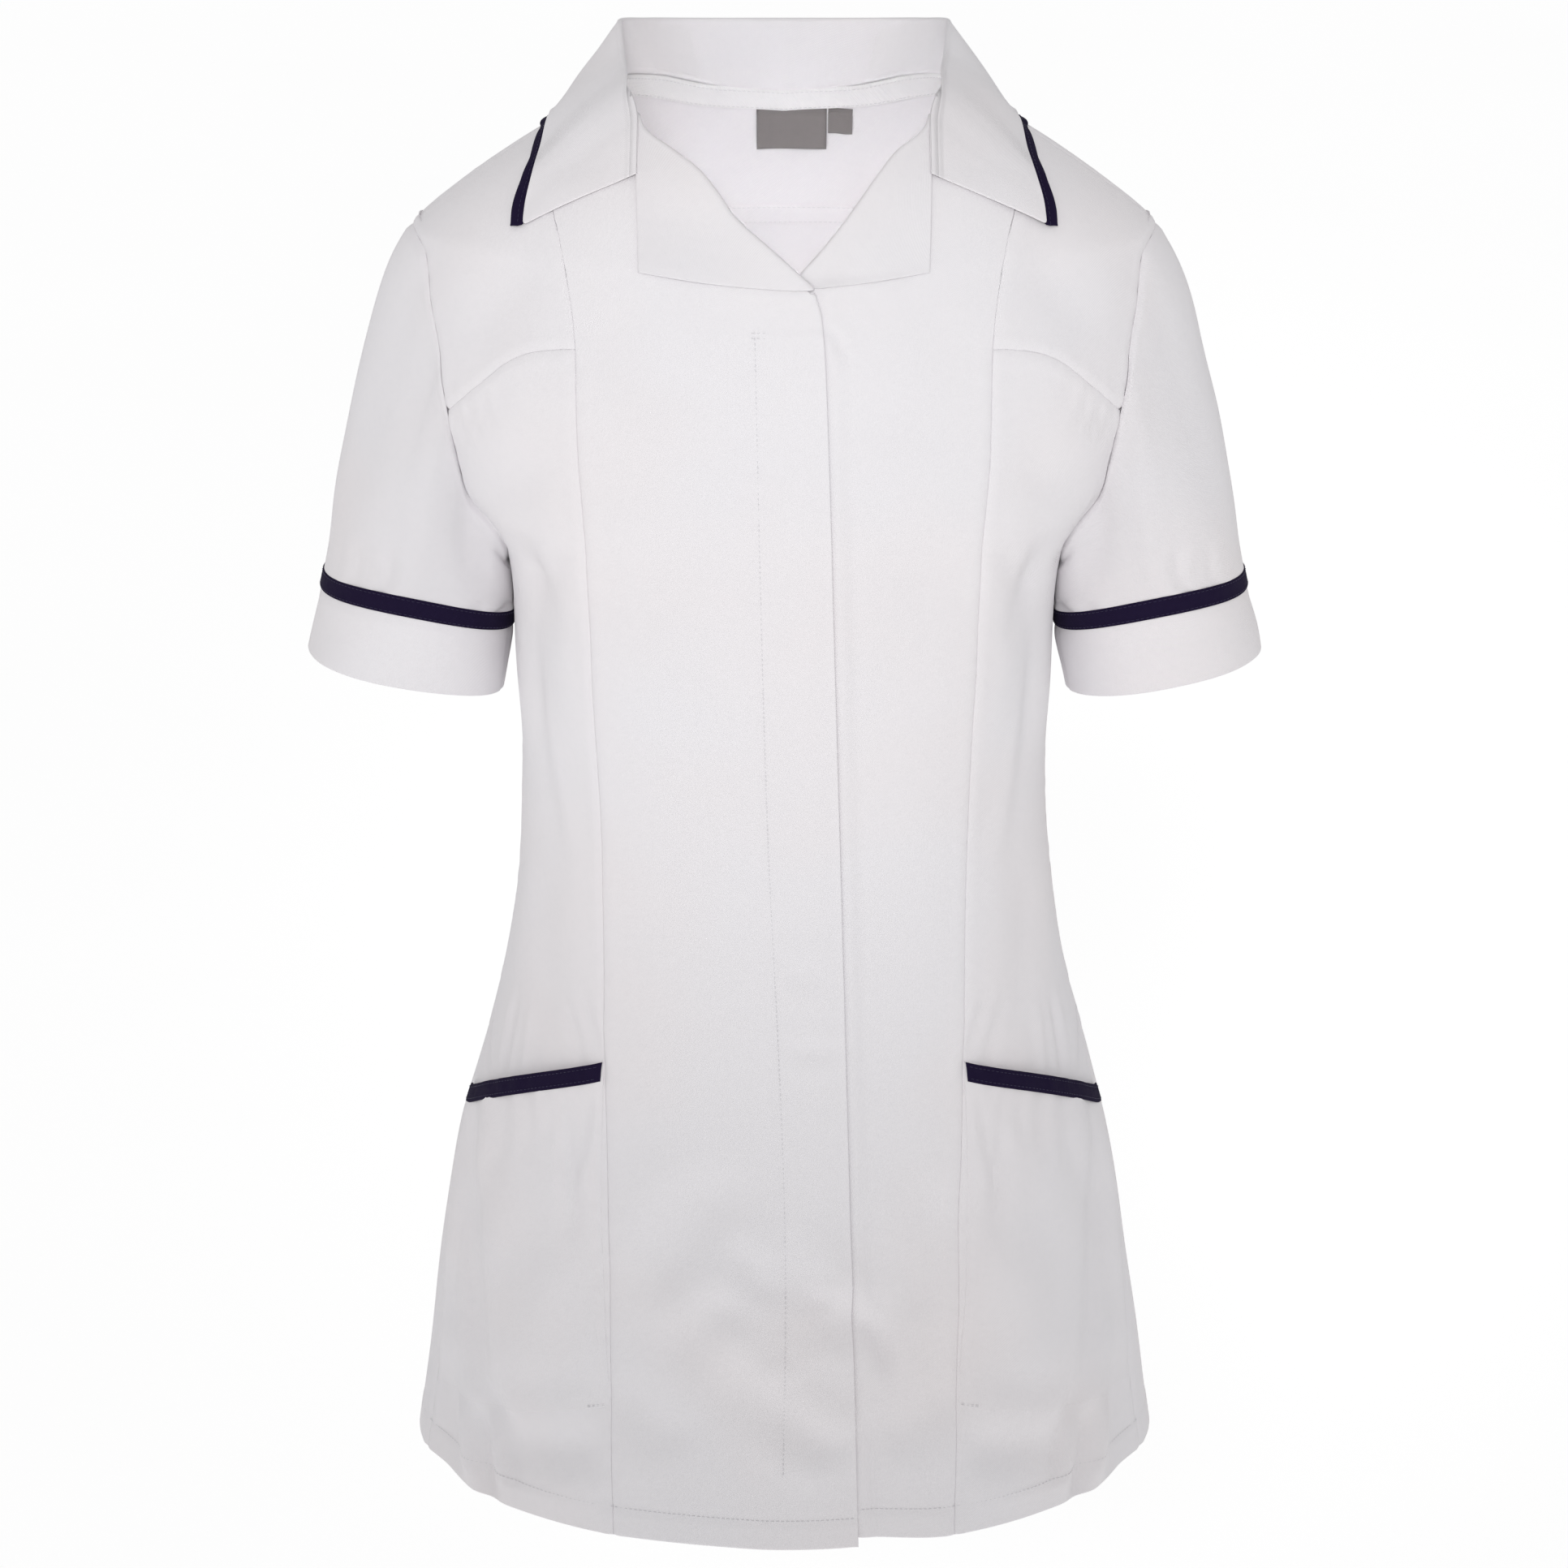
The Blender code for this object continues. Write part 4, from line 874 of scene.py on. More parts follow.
@dataclass
class Stitching:
    """A row of stitches along a line on the cloth, as one mesh of short threads."""

    name: str
    finish: Material
    slot: str
    length: float = 0.0017
    gap: float = 0.0008
    thread: float = 0.00018
    lines: list[tuple[Points, Points]] = field(default_factory=list)

    def add(self, points: Points, normals: Points) -> None:
        """Adds a line of stitches.

        Args:
            points: the line, in order.
            normals: the way out of the cloth at each of its points.
        """
        self.lines.append((points, normals))

    def add_rows(self, sheet: Sheet, rows: Sequence[int], part: slice = slice(None)) -> None:
        """Adds a line just above some rows of a sheet.

        Args:
            sheet: the sheet that they are sewn into.
            rows: the numbers of its rows.
            part: the columns that the line runs over.
        """
        for k in rows:
            out = sheet.normals[k, part]
            self.add(sheet.face[k, part] + out * THREAD_LIFT, out)

    def build(self) -> Piece:
        """Makes all the stitches as one object."""
        bends = np.linspace(0, 1, 5)
        around = np.linspace(0, 2 * math.pi, 7)[:-1]
        groups = []
        for points, normals in self.lines:
            run = np.concatenate([[0], np.cumsum(np.linalg.norm(np.diff(points, axis=0), axis=1))])
            starts = np.arange(0.0004, run[-1] - self.length, self.length + self.gap)
            want = starts[:, None] + bends * self.length
            spine = np.stack([np.interp(want, run, points[:, k]) for k in range(3)], axis=-1)
            out = unit(np.stack([np.interp(want, run, normals[:, k]) for k in range(3)], axis=-1))
            way = unit(spine[:, -1:] - spine[:, :1])
            aside = np.cross(way, out)
            arch = self.thread * (1.5 * np.sin(math.pi * bends) ** 0.7 - 0.5)
            radius = self.thread * (0.55 + 0.45 * np.sin(math.pi * bends))
            spine = spine + out * arch[:, None]
            ring = aside[..., None, :] * np.cos(around)[:, None]
            ring = ring + out[..., None, :] * np.sin(around)[:, None]
            groups.append(spine[..., None, :] + ring * radius[:, None, None])
        rings = np.concatenate(groups)
        stitches, bend_count, sides = rings.shape[:3]
        number = np.arange(rings[..., 0].size).reshape(stitches, bend_count, sides)
        following = np.roll(number, -1, axis=2)
        wall = [number[:, :-1], following[:, :-1], following[:, 1:], number[:, 1:]]
        wall = np.stack(wall, axis=-1).reshape(-1, 4)
        first, last = number[:, 0], number[:, -1]
        near_caps = [first[:, [3, 2, 1, 0]], first[:, [0, 5, 4, 3]]]
        far_caps = [last[:, [0, 1, 2, 3]], last[:, [3, 4, 5, 0]]]
        faces = np.concatenate([wall, *near_caps, *far_caps])
        piece = mesh_object(self.name, rings.reshape(-1, 3), faces, None, self.finish)
        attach(piece, "root")
        log.info("%s: %d stitches", self.name, stitches)
        return piece


class Nodes:
    """Adds nodes to a tree by their inputs' names."""

    def __init__(self, tree: bpy.types.NodeTree) -> None:
        """Starts on a tree."""
        self.tree = tree

    def add(self, kind: str, inputs: Optional[dict] = None, **settings: object) -> bpy.types.Node:
        """A node with some inputs set or linked.

        Args:
            kind: the node's type name, without ShaderNode.
            inputs: socket name or number to a value or to another node's output.
            settings: the node's own settings.
        """
        node = self.tree.nodes.new("ShaderNode" + kind)
        for key, value in settings.items():
            setattr(node, key, value)
        for key, value in (inputs or {}).items():
            if isinstance(value, bpy.types.NodeSocket):
                self.tree.links.new(value, node.inputs[key])
            else:
                node.inputs[key].default_value = value
        return node

    def math(self, operation: str, *values: object) -> bpy.types.NodeSocket:
        """The result of one sum of up to three values, each a number or another node's output."""
        inputs = dict(enumerate((*values, 0.0, 0.0)[:3]))
        return self.add("Math", inputs, operation=operation).outputs[0]

    def link(self, source: bpy.types.NodeSocket, target: bpy.types.NodeSocket) -> None:
        """Links an output to an input."""
        self.tree.links.new(source, target)


def new_group(
    name: str, inputs: dict[str, tuple[str, object]], outputs: dict[str, str]
) -> tuple[Nodes, bpy.types.Node, bpy.types.Node]:
    """An empty node group.

    Args:
        name: the group's name.
        inputs: socket name to its kind and usual value.
        outputs: socket name to its kind.
    """
    tree = bpy.data.node_groups.new(name, "ShaderNodeTree")
    for label, (kind, value) in inputs.items():
        socket = tree.interface.new_socket(label, in_out="INPUT", socket_type="NodeSocket" + kind)
        if value is not None:
            socket.default_value = value
    for label, kind in outputs.items():
        tree.interface.new_socket(label, in_out="OUTPUT", socket_type="NodeSocket" + kind)
    nodes = Nodes(tree)
    return nodes, tree.nodes.new("NodeGroupInput"), tree.nodes.new("NodeGroupOutput")


def twill_group() -> bpy.types.NodeTree:
    """Twill weave: slanting ribs of fine yarns, on the flat cloth's own lengths."""
    inputs = {
        "Flat Cloth": ("Vector", None),
        "Place": ("Vector", None),
        "Rib Pitch": ("Float", 0.0007),
        "Yarn Pitch": ("Float", 0.00034),
        "Slub": ("Float", 0.4),
    }
    nodes, given, result = new_group("twill_weave", inputs, {"Height": "Float", "Rib": "Float"})
    place = nodes.add("SeparateXYZ", {0: given.outputs["Flat Cloth"]})
    slub = nodes.add("TexNoise", {"Vector": given.outputs["Place"], "Scale": 420.0, "Detail": 2.0})
    wander = nodes.math("SUBTRACT", slub.outputs["Fac"], 0.5)
    wander = nodes.math("MULTIPLY", wander, given.outputs["Slub"])
    across = nodes.math("ADD", place.outputs["X"], nodes.math("MULTIPLY", wander, 0.0004))
    slant = nodes.math("MULTIPLY_ADD", place.outputs["Y"], 0.6, across)
    turn = 2 * math.pi
    rib = nodes.math("DIVIDE", slant, given.outputs["Rib Pitch"])
    rib = nodes.math("SINE", nodes.math("MULTIPLY", rib, turn))
    yarn = nodes.math("DIVIDE", place.outputs["Y"], given.outputs["Yarn Pitch"])
    yarn = nodes.math("SINE", nodes.math("MULTIPLY", yarn, turn))
    height = nodes.math("MULTIPLY_ADD", yarn, 0.35, nodes.math("MULTIPLY", rib, 0.65))
    height = nodes.math("ADD", height, nodes.math("MULTIPLY", wander, 1.6))
    nodes.link(height, result.inputs["Height"])
    nodes.link(nodes.math("MULTIPLY_ADD", rib, 0.5, 0.5), result.inputs["Rib"])
    return nodes.tree


def tone_and_painted_shade_group() -> bpy.types.NodeTree:
    """Colour variation: wide soft tints and fine flecks over a base colour, and painted shade that darkens
    the weave's rib troughs.
    """
    inputs = {
        "Place": ("Vector", None),
        "Base": ("Color", (0.8, 0.8, 0.8, 1)),
        "Warm": ("Color", (0.8, 0.78, 0.78, 1)),
        "Shade": ("Color", (0.7, 0.7, 0.72, 1)),
        "Rib": ("Float", 0.5),
        "Painted Rib Shade": ("Float", 0.05),
    }
    nodes, given, result = new_group("cloth_tone_and_painted_shade", inputs, {"Color": "Color", "Wear": "Float"})
    wide = nodes.add("TexNoise", {"Vector": given.outputs["Place"], "Scale": 7.0, "Detail": 2.0})
    fine = nodes.add("TexNoise", {"Vector": given.outputs["Place"], "Scale": 260.0, "Detail": 3.0})
    warm = nodes.add("MapRange", {"Value": wide.outputs["Fac"], "From Min": 0.42, "From Max": 0.68})
    tint = {"Factor": warm.outputs["Result"], 6: given.outputs["Base"], 7: given.outputs["Warm"]}
    first = nodes.add("Mix", tint, data_type="RGBA")
    fleck = nodes.math("MULTIPLY", nodes.math("SUBTRACT", fine.outputs["Fac"], 0.45), 0.25)
    # painted shade: the colour darkens towards the shade colour where the weave's ribs are low
    rib = nodes.math("SUBTRACT", 1.0, given.outputs["Rib"])
    rib = nodes.math("MULTIPLY", rib, given.outputs["Painted Rib Shade"])
    amount = nodes.math("ADD", nodes.math("MAXIMUM", fleck, 0.0), rib)
    tint = {"Factor": amount, 6: first.outputs[2], 7: given.outputs["Shade"]}
    second = nodes.add("Mix", tint, data_type="RGBA")
    nodes.link(second.outputs[2], result.inputs["Color"])
    nodes.link(fine.outputs["Fac"], result.inputs["Wear"])
    return nodes.tree


@dataclass(frozen=True)
class ClothFinish:
    """The look of one cloth."""

    name: str
    base: tuple[float, float, float]
    warm: tuple[float, float, float]
    shade: tuple[float, float, float]
    roughness: float = 0.82
    sheen: float = 0.12
    rib_pitch: float = 0.0007
    yarn_pitch: float = 0.00034
    # how far the colour darkens in the weave's rib troughs: painted shade
    painted_rib_shade: float = 0.06
    bump: float = 0.00006
    slub: float = 0.5
    specular: float = 0.25

    def material(self, twill: bpy.types.NodeTree, tone: bpy.types.NodeTree) -> Material:
        """The cloth's material.

        Args:
            twill: the shared weave group.
            tone: the shared group of colour variation and painted rib shade.
        """
        made = bpy.data.materials.new(self.name)
        made.use_nodes = True
        nodes = Nodes(made.node_tree)
        shader = made.node_tree.nodes["Principled BSDF"]
        place = nodes.add("TexCoord")
        weave = nodes.add("Group", node_tree=twill)
        nodes.link(place.outputs["UV"], weave.inputs["Flat Cloth"])
        nodes.link(place.outputs["Object"], weave.inputs["Place"])
        weave.inputs["Rib Pitch"].default_value = self.rib_pitch
        weave.inputs["Yarn Pitch"].default_value = self.yarn_pitch
        weave.inputs["Slub"].default_value = self.slub
        colour = nodes.add("Group", node_tree=tone)
        nodes.link(place.outputs["Object"], colour.inputs["Place"])
        for label, value in {"Base": self.base, "Warm": self.warm, "Shade": self.shade}.items():
            colour.inputs[label].default_value = (*value, 1)
        # the weave's ribs drive painted shade in their troughs
        nodes.link(weave.outputs["Rib"], colour.inputs["Rib"])
        colour.inputs["Painted Rib Shade"].default_value = self.painted_rib_shade
        nodes.link(colour.outputs["Color"], shader.inputs["Base Color"])
        worn = {"Value": colour.outputs["Wear"], "From Min": 0.3, "From Max": 0.7}
        worn |= {"To Min": self.roughness - 0.06, "To Max": self.roughness + 0.06}
        rough = nodes.add("MapRange", worn)
        nodes.link(rough.outputs["Result"], shader.inputs["Roughness"])
        weave_height = weave.outputs["Height"]
        relief = nodes.add("Bump", {"Height": weave_height, "Distance": self.bump, "Strength": 1.0})
        nodes.link(relief.outputs["Normal"], shader.inputs["Normal"])
        shader.inputs["Specular IOR Level"].default_value = self.specular
        shader.inputs["Sheen Weight"].default_value = self.sheen
        shader.inputs["Sheen Roughness"].default_value = 0.45
        return made


WHITE_FINISH = ClothFinish(
    "white_twill",
    base=(0.830, 0.810, 0.834),
    warm=(0.837, 0.800, 0.814),
    shade=(0.70, 0.69, 0.72),
)
NAVY_FINISH = ClothFinish(
    "navy_twill",
    base=(0.0140, 0.0088, 0.0330),
    warm=(0.0150, 0.0092, 0.0345),
    shade=(0.006, 0.004, 0.015),
    roughness=0.86,
    sheen=0.01,
    painted_rib_shade=0.3,
    bump=0.00008,
    specular=0.06,
)
LABEL_FINISH = ClothFinish(
    "grey_label_weave",
    base=(0.235, 0.215, 0.215),
    warm=(0.25, 0.23, 0.23),
    shade=(0.15, 0.14, 0.14),
    roughness=0.55,
    sheen=0.10,
    rib_pitch=0.0005,
    yarn_pitch=0.0005,
    painted_rib_shade=0.15,
)
TAPE_FINISH = ClothFinish(
    "white_tape",
    base=(0.84, 0.83, 0.84),
    warm=(0.84, 0.82, 0.82),
    shade=(0.66, 0.65, 0.67),
    rib_pitch=0.0012,
    yarn_pitch=0.0006,
)
# White thread, coloured grey: painted shade of the holes and gaps between the stitches
THREAD_FINISH = ClothFinish(
    "white_thread_with_painted_shade",
    base=(0.71, 0.70, 0.72),
    warm=(0.71, 0.69, 0.71),
    shade=(0.6, 0.6, 0.62),
    roughness=0.6,
    sheen=0.2,
)
NAVY_THREAD_FINISH = ClothFinish(
    "navy_thread",
    base=(0.020, 0.016, 0.052),
    warm=(0.022, 0.017, 0.055),
    shade=(0.01, 0.008, 0.03),
    roughness=0.5,
    sheen=0.1,
)


@dataclass
class Wardrobe:
    """The materials, made once and handed to every piece."""

    white: Material = field(init=False)
    navy: Material = field(init=False)
    label: Material = field(init=False)
    tape: Material = field(init=False)
    thread: Material = field(init=False)
    navy_thread: Material = field(init=False)

    def __post_init__(self) -> None:
        """Makes the materials from the shared groups."""
        twill, tone = twill_group(), tone_and_painted_shade_group()
        self.white = WHITE_FINISH.material(twill, tone)
        self.navy = NAVY_FINISH.material(twill, tone)
        self.label = LABEL_FINISH.material(twill, tone)
        self.tape = TAPE_FINISH.material(twill, tone)
        self.thread = THREAD_FINISH.material(twill, tone)
        self.navy_thread = NAVY_THREAD_FINISH.material(twill, tone)


def declare(piece: Piece, sheet: Sheet, with_pieces: Sequence[Piece] = ()) -> None:
    """Works out the size of a sheet's cut.

    Args:
        piece: the sheet's object; not used.
        sheet: its smooth face and sides.
        with_pieces: the stitches that belong with it; not used.
    """
    width, length, area = sheet.flat()


def on_side(grid: Points, left: bool) -> Points:
    """A grid of turns and heights on the wearer's left, or its mirror image in the same column order."""
    return grid if left else (grid * [-1, 1])[:, ::-1]


def princess_line(top: float, bottom: float) -> Points:
    """The princess seam between two heights, as turns."""
    height = np.linspace(top, bottom, 160)
    return rows_of(np.minimum(FORM.turn_at(PRINCESS_X(height), height), 1), height)


def bust_line() -> Points:
    """The bust seam from the princess seam to the armhole."""
    height = np.linspace(BUST_SEAM_AT_PRINCESS, BUST_SEAM_AT_ARMHOLE, 60)
    return rows_of(FORM.turn_at(BUST_SEAM_X(height), height), height)


def armhole_height(step: Points, back: bool) -> Points:
    """The armhole's height from the shoulder tip (0) through its joint to the underarm (12)."""
    joint = YOKE_SEAM if back else BUST_SEAM_AT_ARMHOLE
    above = BACK_STEPS_TO_JOINT if back else FRONT_STEPS_TO_JOINT
    upper = np.clip(step / above, 0, 1) * math.pi / 2
    lower = np.clip((step - above) / (ARMHOLE_STEPS - above), 0, 1) * math.pi / 2
    to_joint = SHOULDER_TIP + (joint - SHOULDER_TIP) * (1 - np.cos(upper))
    return np.where(step <= above, to_joint, joint + (UNDERARM - joint) * np.sin(lower))


def armhole_line(first: float, last: float, back: bool) -> Points:
    """The armhole between two of its steps, as turns and heights."""
    height = armhole_height(np.linspace(first, last, 120), back)
    turn = FORM.turn_at(ARMHOLE_SHARE[back](height) * FORM.half_width(height), height, back)
    return rows_of(turn, height)


def side_line() -> Points:
    """The side seam from the underarm to the hem."""
    height = np.linspace(UNDERARM, HEM, 120)
    return rows_of(SIDE_SEAM_TURN(height), height)


def shoulder_line(top: float, bottom: float) -> Points:
    """The shoulder seam between two heights."""
    return rows_of(1.0, np.linspace(top, bottom, 40))


def roll_line(right: bool, nose: float = 0.0) -> Points:
    """The fold of a revere from the neck down, as distances from the middle, moved inward by nose."""
    rows = ROLL_RIGHT if right else ROLL_LEFT
    x = Curve(rows, "x")
    height = np.linspace(rows[0].height, rows[-1].height, 90)
    way = unit(np.stack([np.gradient(x(height)), np.gradient(height)], axis=-1))
    return rows_of(x(height) - way[:, 1] * nose, height + way[:, 0] * nose)


def lap_out(x: Points, height: Points, right: bool) -> Points:
    """How far a front leaves the form where the fronts overlap. x is towards the wearer's left."""
    beyond = x - FRONT_EDGE_X(height)
    if right:
        return LAP_LIFT * ease(1 + (beyond + UNDERLAP + LAP_MARGIN) / LAP_BLEND)
    return -LAP_SINK * ease(1 - (beyond - LAP_MARGIN) / LAP_BLEND)


def hem_rise(x: Points, height: Points) -> Points:
    """How much shorter the left front is near the overlap. x is towards the wearer's left."""
    low = np.clip((height - BUST_SEAM_AT_PRINCESS) / (HEM - BUST_SEAM_AT_PRINCESS), 0, 1)
    return LEFT_HEM_RISE * low**4 * ease((0.085 - x) / 0.05)


def hem_lift(height: Points, rise: Points = 0.0) -> Points:
    """The hem band: a little thicker than the cloth above it, with its stitch line pressed in."""
    up = height - rise - HEM
    band = HEM_THICKER * ease((HEM_BAND + 0.001 - up) / 0.002)
    return band - HEM_THICKER * np.exp(-(((up - HEM_BAND) / STITCH_LINE) ** 2))


@dataclass
class Body:
    """The torso's panels: fronts, side fronts, back yoke and back."""

    wardrobe: Wardrobe

    def panel(self, name: str, grid: Points, out: Points = 0.0, **edges: object) -> Sheet:
        """A sheet on the form from a grid of turns and heights."""
        turn, height = np.moveaxis(grid, -1, 0)
        face = FORM.on(turn, height, out)
        places = rows_of(FORM.around(turn, height, name.startswith("back")), height)
        normals = FORM.normal(turn, height)
        return Sheet(name, face, normals, self.wardrobe.white, "white_cloth", places=places, **edges)

    def front_edge(self, right: bool, top: float, bottom: float) -> Points:
        """A front's edge between two heights, as distances towards its own side."""
        height = np.linspace(top, bottom, 160)
        return rows_of(-FRONT_EDGE_X(height) if right else FRONT_EDGE_X(height) - UNDERLAP, height)

    def front_centre(self, right: bool) -> Sheet:
        """A centre front, from its roll line and shoulder to the hem."""
        edge_kind = Edge.FOLD if right else Edge.CUT
        p = shares(0.125, edge_kind, Edge.SEAM)
        shoulder = FORM.as_distances(shoulder_line(NECK_SIDE, PRINCESS_TOP))
        roll = roll_line(right, ROLL_NOSE)[::-1]
        limit = -FRONT_EDGE_X(roll[:, 1]) if right else FRONT_EDGE_X(roll[:, 1]) - UNDERLAP
        roll = roll[roll[:, 0] > limit + 0.0002]
        edge = self.front_edge(right, roll[0, 1], BUST_SEAM_AT_PRINCESS)
        top = np.concatenate([edge[:1], roll, shoulder])
        princess = FORM.as_distances(princess_line(PRINCESS_TOP, BUST_SEAM_AT_PRINCESS))
        level = np.stack([edge[-1], princess[-1]])
        q = shares(0.10, Edge.CUT, Edge.CUT)
        chest = FORM.as_turns(between(top, level, edge, princess, p[None], q[:, None]))
        chest[:, -1] = along(princess_line(PRINCESS_TOP, BUST_SEAM_AT_PRINCESS), q)
        lower_edge = FORM.as_turns(self.front_edge(right, BUST_SEAM_AT_PRINCESS, HEM))
        lower_princess = princess_line(BUST_SEAM_AT_PRINCESS, HEM)
        hem = np.stack([lower_edge[-1], lower_princess[-1]])
        q = shares(BUST_SEAM_AT_PRINCESS - HEM, Edge.CUT, Edge.FOLD)[1:]
        ends = np.stack([chest[-1, 0], chest[-1, -1]])
        rows = between(ends, hem, lower_edge, lower_princess, p[None], q[:, None])
        rows = rows + (1 - q[:, None, None]) * (chest[-1] - along(ends, p))[None]
        grid = np.concatenate([chest, rows])
        x = FORM.smooth(grid[..., 0], grid[..., 1])[..., 0]
        across = -x if right else x
        rise = np.zeros(x.shape) if right else hem_rise(across, grid[..., 1])
        grid[..., 1] += rise
        out = lap_out(across, grid[..., 1], right) + hem_lift(grid[..., 1], rise)
        if right:
            out = out + self.placket(across, grid[..., 1])
        name = "front_centre_right" if right else "front_centre_left"
        kinds = {"top": Edge.CUT, "bottom": Edge.FOLD, "first": edge_kind, "last": Edge.SEAM}
        if right:
            grid, out = on_side(grid, False), out[:, ::-1]
            kinds["first"], kinds["last"] = kinds["last"], kinds["first"]
        thickness = DOUBLE_CLOTH if right else CLOTH
        return self.panel(name, grid, out, thickness=thickness, seed=11 + right, **kinds)

    def placket(self, x: Points, height: Points) -> Points:
        """The stitched-down fly on the right front: its stitch line and a low step towards the edge."""
        beyond = x - Curve(PLACKET_STITCH, "x")(height)
        inside = ease((-0.098 - height) / 0.004) * ease((height + 0.682) / 0.006)
        line = -0.00035 * np.exp(-((beyond / STITCH_LINE) ** 2))
        step = 0.0003 * ease(beyond / 0.003)
        waves = 0.00016 * ripple(height[..., None], 0.010, 4) * np.exp(-((beyond / 0.006) ** 2))
        return (line + step + waves) * inside

    def side_front_upper(self, left: bool) -> Sheet:
        """The piece between shoulder, armhole, princess seam and bust seam."""
        first = princess_line(PRINCESS_TOP, BUST_SEAM_AT_PRINCESS)
        last = armhole_line(0, FRONT_STEPS_TO_JOINT, False)
        top = shoulder_line(PRINCESS_TOP, SHOULDER_TIP)
        bottom = bust_line()
        first[0], last[0] = top[0], top[-1]
        first[-1], last[-1] = bottom[0], bottom[-1]
        p, q = shares(0.09, Edge.SEAM, Edge.SEAM), shares(0.09, Edge.SEAM, Edge.SEAM)
        grid = between(top, bottom, first, last, p[None], q[:, None])
        name = "side_front_upper_left" if left else "side_front_upper_right"
        return self.panel(name, on_side(grid, left), seed=21 + left, pucker=0.00016, dip=PANEL_DIP)

    def side_front_lower(self, left: bool) -> Sheet:
        """The piece from the bust seam and armhole to the hem."""
        top = np.concatenate([bust_line(), armhole_line(FRONT_STEPS_TO_JOINT, ARMHOLE_STEPS, False)[1:]])
        first, last = princess_line(BUST_SEAM_AT_PRINCESS, HEM), side_line()
        top[-1], first[0] = last[0], top[0]
        bottom = np.stack([first[-1], last[-1]])
        p, q = shares(0.13, Edge.SEAM, Edge.SEAM, 0.0024), shares(0.55, Edge.SEAM, Edge.FOLD)
        grid = between(top, bottom, first, last, p[None], q[:, None])
        name = "side_front_lower_left" if left else "side_front_lower_right"
        out = hem_lift(grid[..., 1])
        out = out if left else out[:, ::-1]
        edges = {"bottom": Edge.FOLD, "seed": 31 + left, "pucker": 0.00020, "dip": PANEL_DIP}
        return self.panel(name, on_side(grid, left), out, **edges)

    def back_yoke(self) -> Sheet:
        """The yoke over the shoulders, from the neck to the yoke seam."""
        shoulder = shoulder_line(NECK_SIDE, SHOULDER_TIP)
        first = np.concatenate([shoulder, armhole_line(0, BACK_STEPS_TO_JOINT, True)[1:]])
        last = first * [-1, 1] + [4, 0]
        turn = np.linspace(1, 3, 240)
        top = rows_of(turn, back_neck_height(turn))
        bottom = np.stack([first[-1], last[-1]])
        p, q = shares(0.42, Edge.SEAM, Edge.SEAM), shares(0.11, Edge.CUT, Edge.SEAM)
        grid = between(top, bottom, first, last, p[None], q[:, None])
        low = (along(first, q)[:, 1:] - NECK_SIDE) / (YOKE_SEAM - NECK_SIDE)
        low = low + (q[:, None] - low) * ease(np.minimum(p, 1 - p)[None] / 0.15)
        level = along(top, p)[:, 1]
        grid[..., 1] = level + low * (YOKE_SEAM - level)
        return self.panel("back_yoke", grid, top=Edge.CUT, seed=41, dip=PANEL_DIP)

    def back(self) -> Sheet:
        """The back, from the yoke seam to the hem."""
        first = np.concatenate([armhole_line(BACK_STEPS_TO_JOINT, ARMHOLE_STEPS, True), side_line()[1:]])
        last = first * [-1, 1] + [4, 0]
        top, bottom = np.stack([first[0], last[0]]), np.stack([first[-1], last[-1]])
        p, q = shares(0.45, Edge.SEAM, Edge.SEAM, 0.0030), shares(0.63, Edge.SEAM, Edge.FOLD, 0.0030)
        grid = between(top, bottom, first, last, p[None], q[:, None])
        out = hem_lift(grid[..., 1])
        return self.panel("back_panel", grid, out, bottom=Edge.FOLD, seed=51, dip=PANEL_DIP)

    def build(self) -> None:
        """Makes every panel and the stitching on it."""
        right, left = self.front_centre(True), self.front_centre(False)
        fly = self.placket_stitches()
        hem = self.hem_stitches()
        declare(right.build(), right, [fly, hem])
        declare(left.build(), left)
        for side in (True, False):
            for sheet in (self.side_front_upper(side), self.side_front_lower(side)):
                declare(sheet.build(), sheet)
        for sheet in (self.back_yoke(), self.back()):
            declare(sheet.build(), sheet)
        self.yoke_stitches()

    def stitched(self, row: Stitching, turn: Points, height: Points, out: Points) -> None:
        """Adds a line of stitches on the form."""
        row.add(FORM.on(turn, height, out), FORM.normal(turn, height))

    def placket_stitches(self) -> Piece:
        """The long row that holds the fly, and the short double bar at its top."""
        row = Stitching("fly_stitching", self.wardrobe.thread, "white_cloth")
        height = np.linspace(-0.1017, -0.6780, 400)
        x = Curve(PLACKET_STITCH, "x")(height)
        out = lap_out(x, height, True) - 0.00015
        self.stitched(row, FORM.turn_at(x, height), height, out)
        for level in (-0.1003, -0.1026):
            x = np.linspace(-0.0156, -0.0061, 12)
            height = np.full(x.shape, level)
            self.stitched(row, FORM.turn_at(x, height), height, lap_out(x, height, True) + 0.00005)
        return row.build()

    def hem_stitches(self) -> Piece:
        """The hem's row of stitches all the way round."""
        row = Stitching("hem_stitching", self.wardrobe.thread, "white_cloth")
        level = HEM + HEM_BAND
        edge = float(FORM.turn_at(FRONT_EDGE_X(level) - 0.0015, np.array(level)))
        turn = np.linspace(edge, -1.999, 700)
        x = FORM.smooth(turn, level + 0 * turn)[..., 0]
        over = np.where(np.abs(turn) < 0.6, lap_out(x, level, True), 0)
        self.stitched(row, turn, level + 0 * turn, over - 0.0001)
        turn = np.linspace(2.0, edge + 0.01, 600)
        x = FORM.smooth(turn, level + 0 * turn)[..., 0]
        near = np.abs(turn) < 0.6
        rise = np.where(near, hem_rise(x, np.full(x.shape, level)), 0)
        over = np.where(near, lap_out(x, level, False), 0)
        self.stitched(row, turn, level + rise, over - 0.0001)
        return row.build()

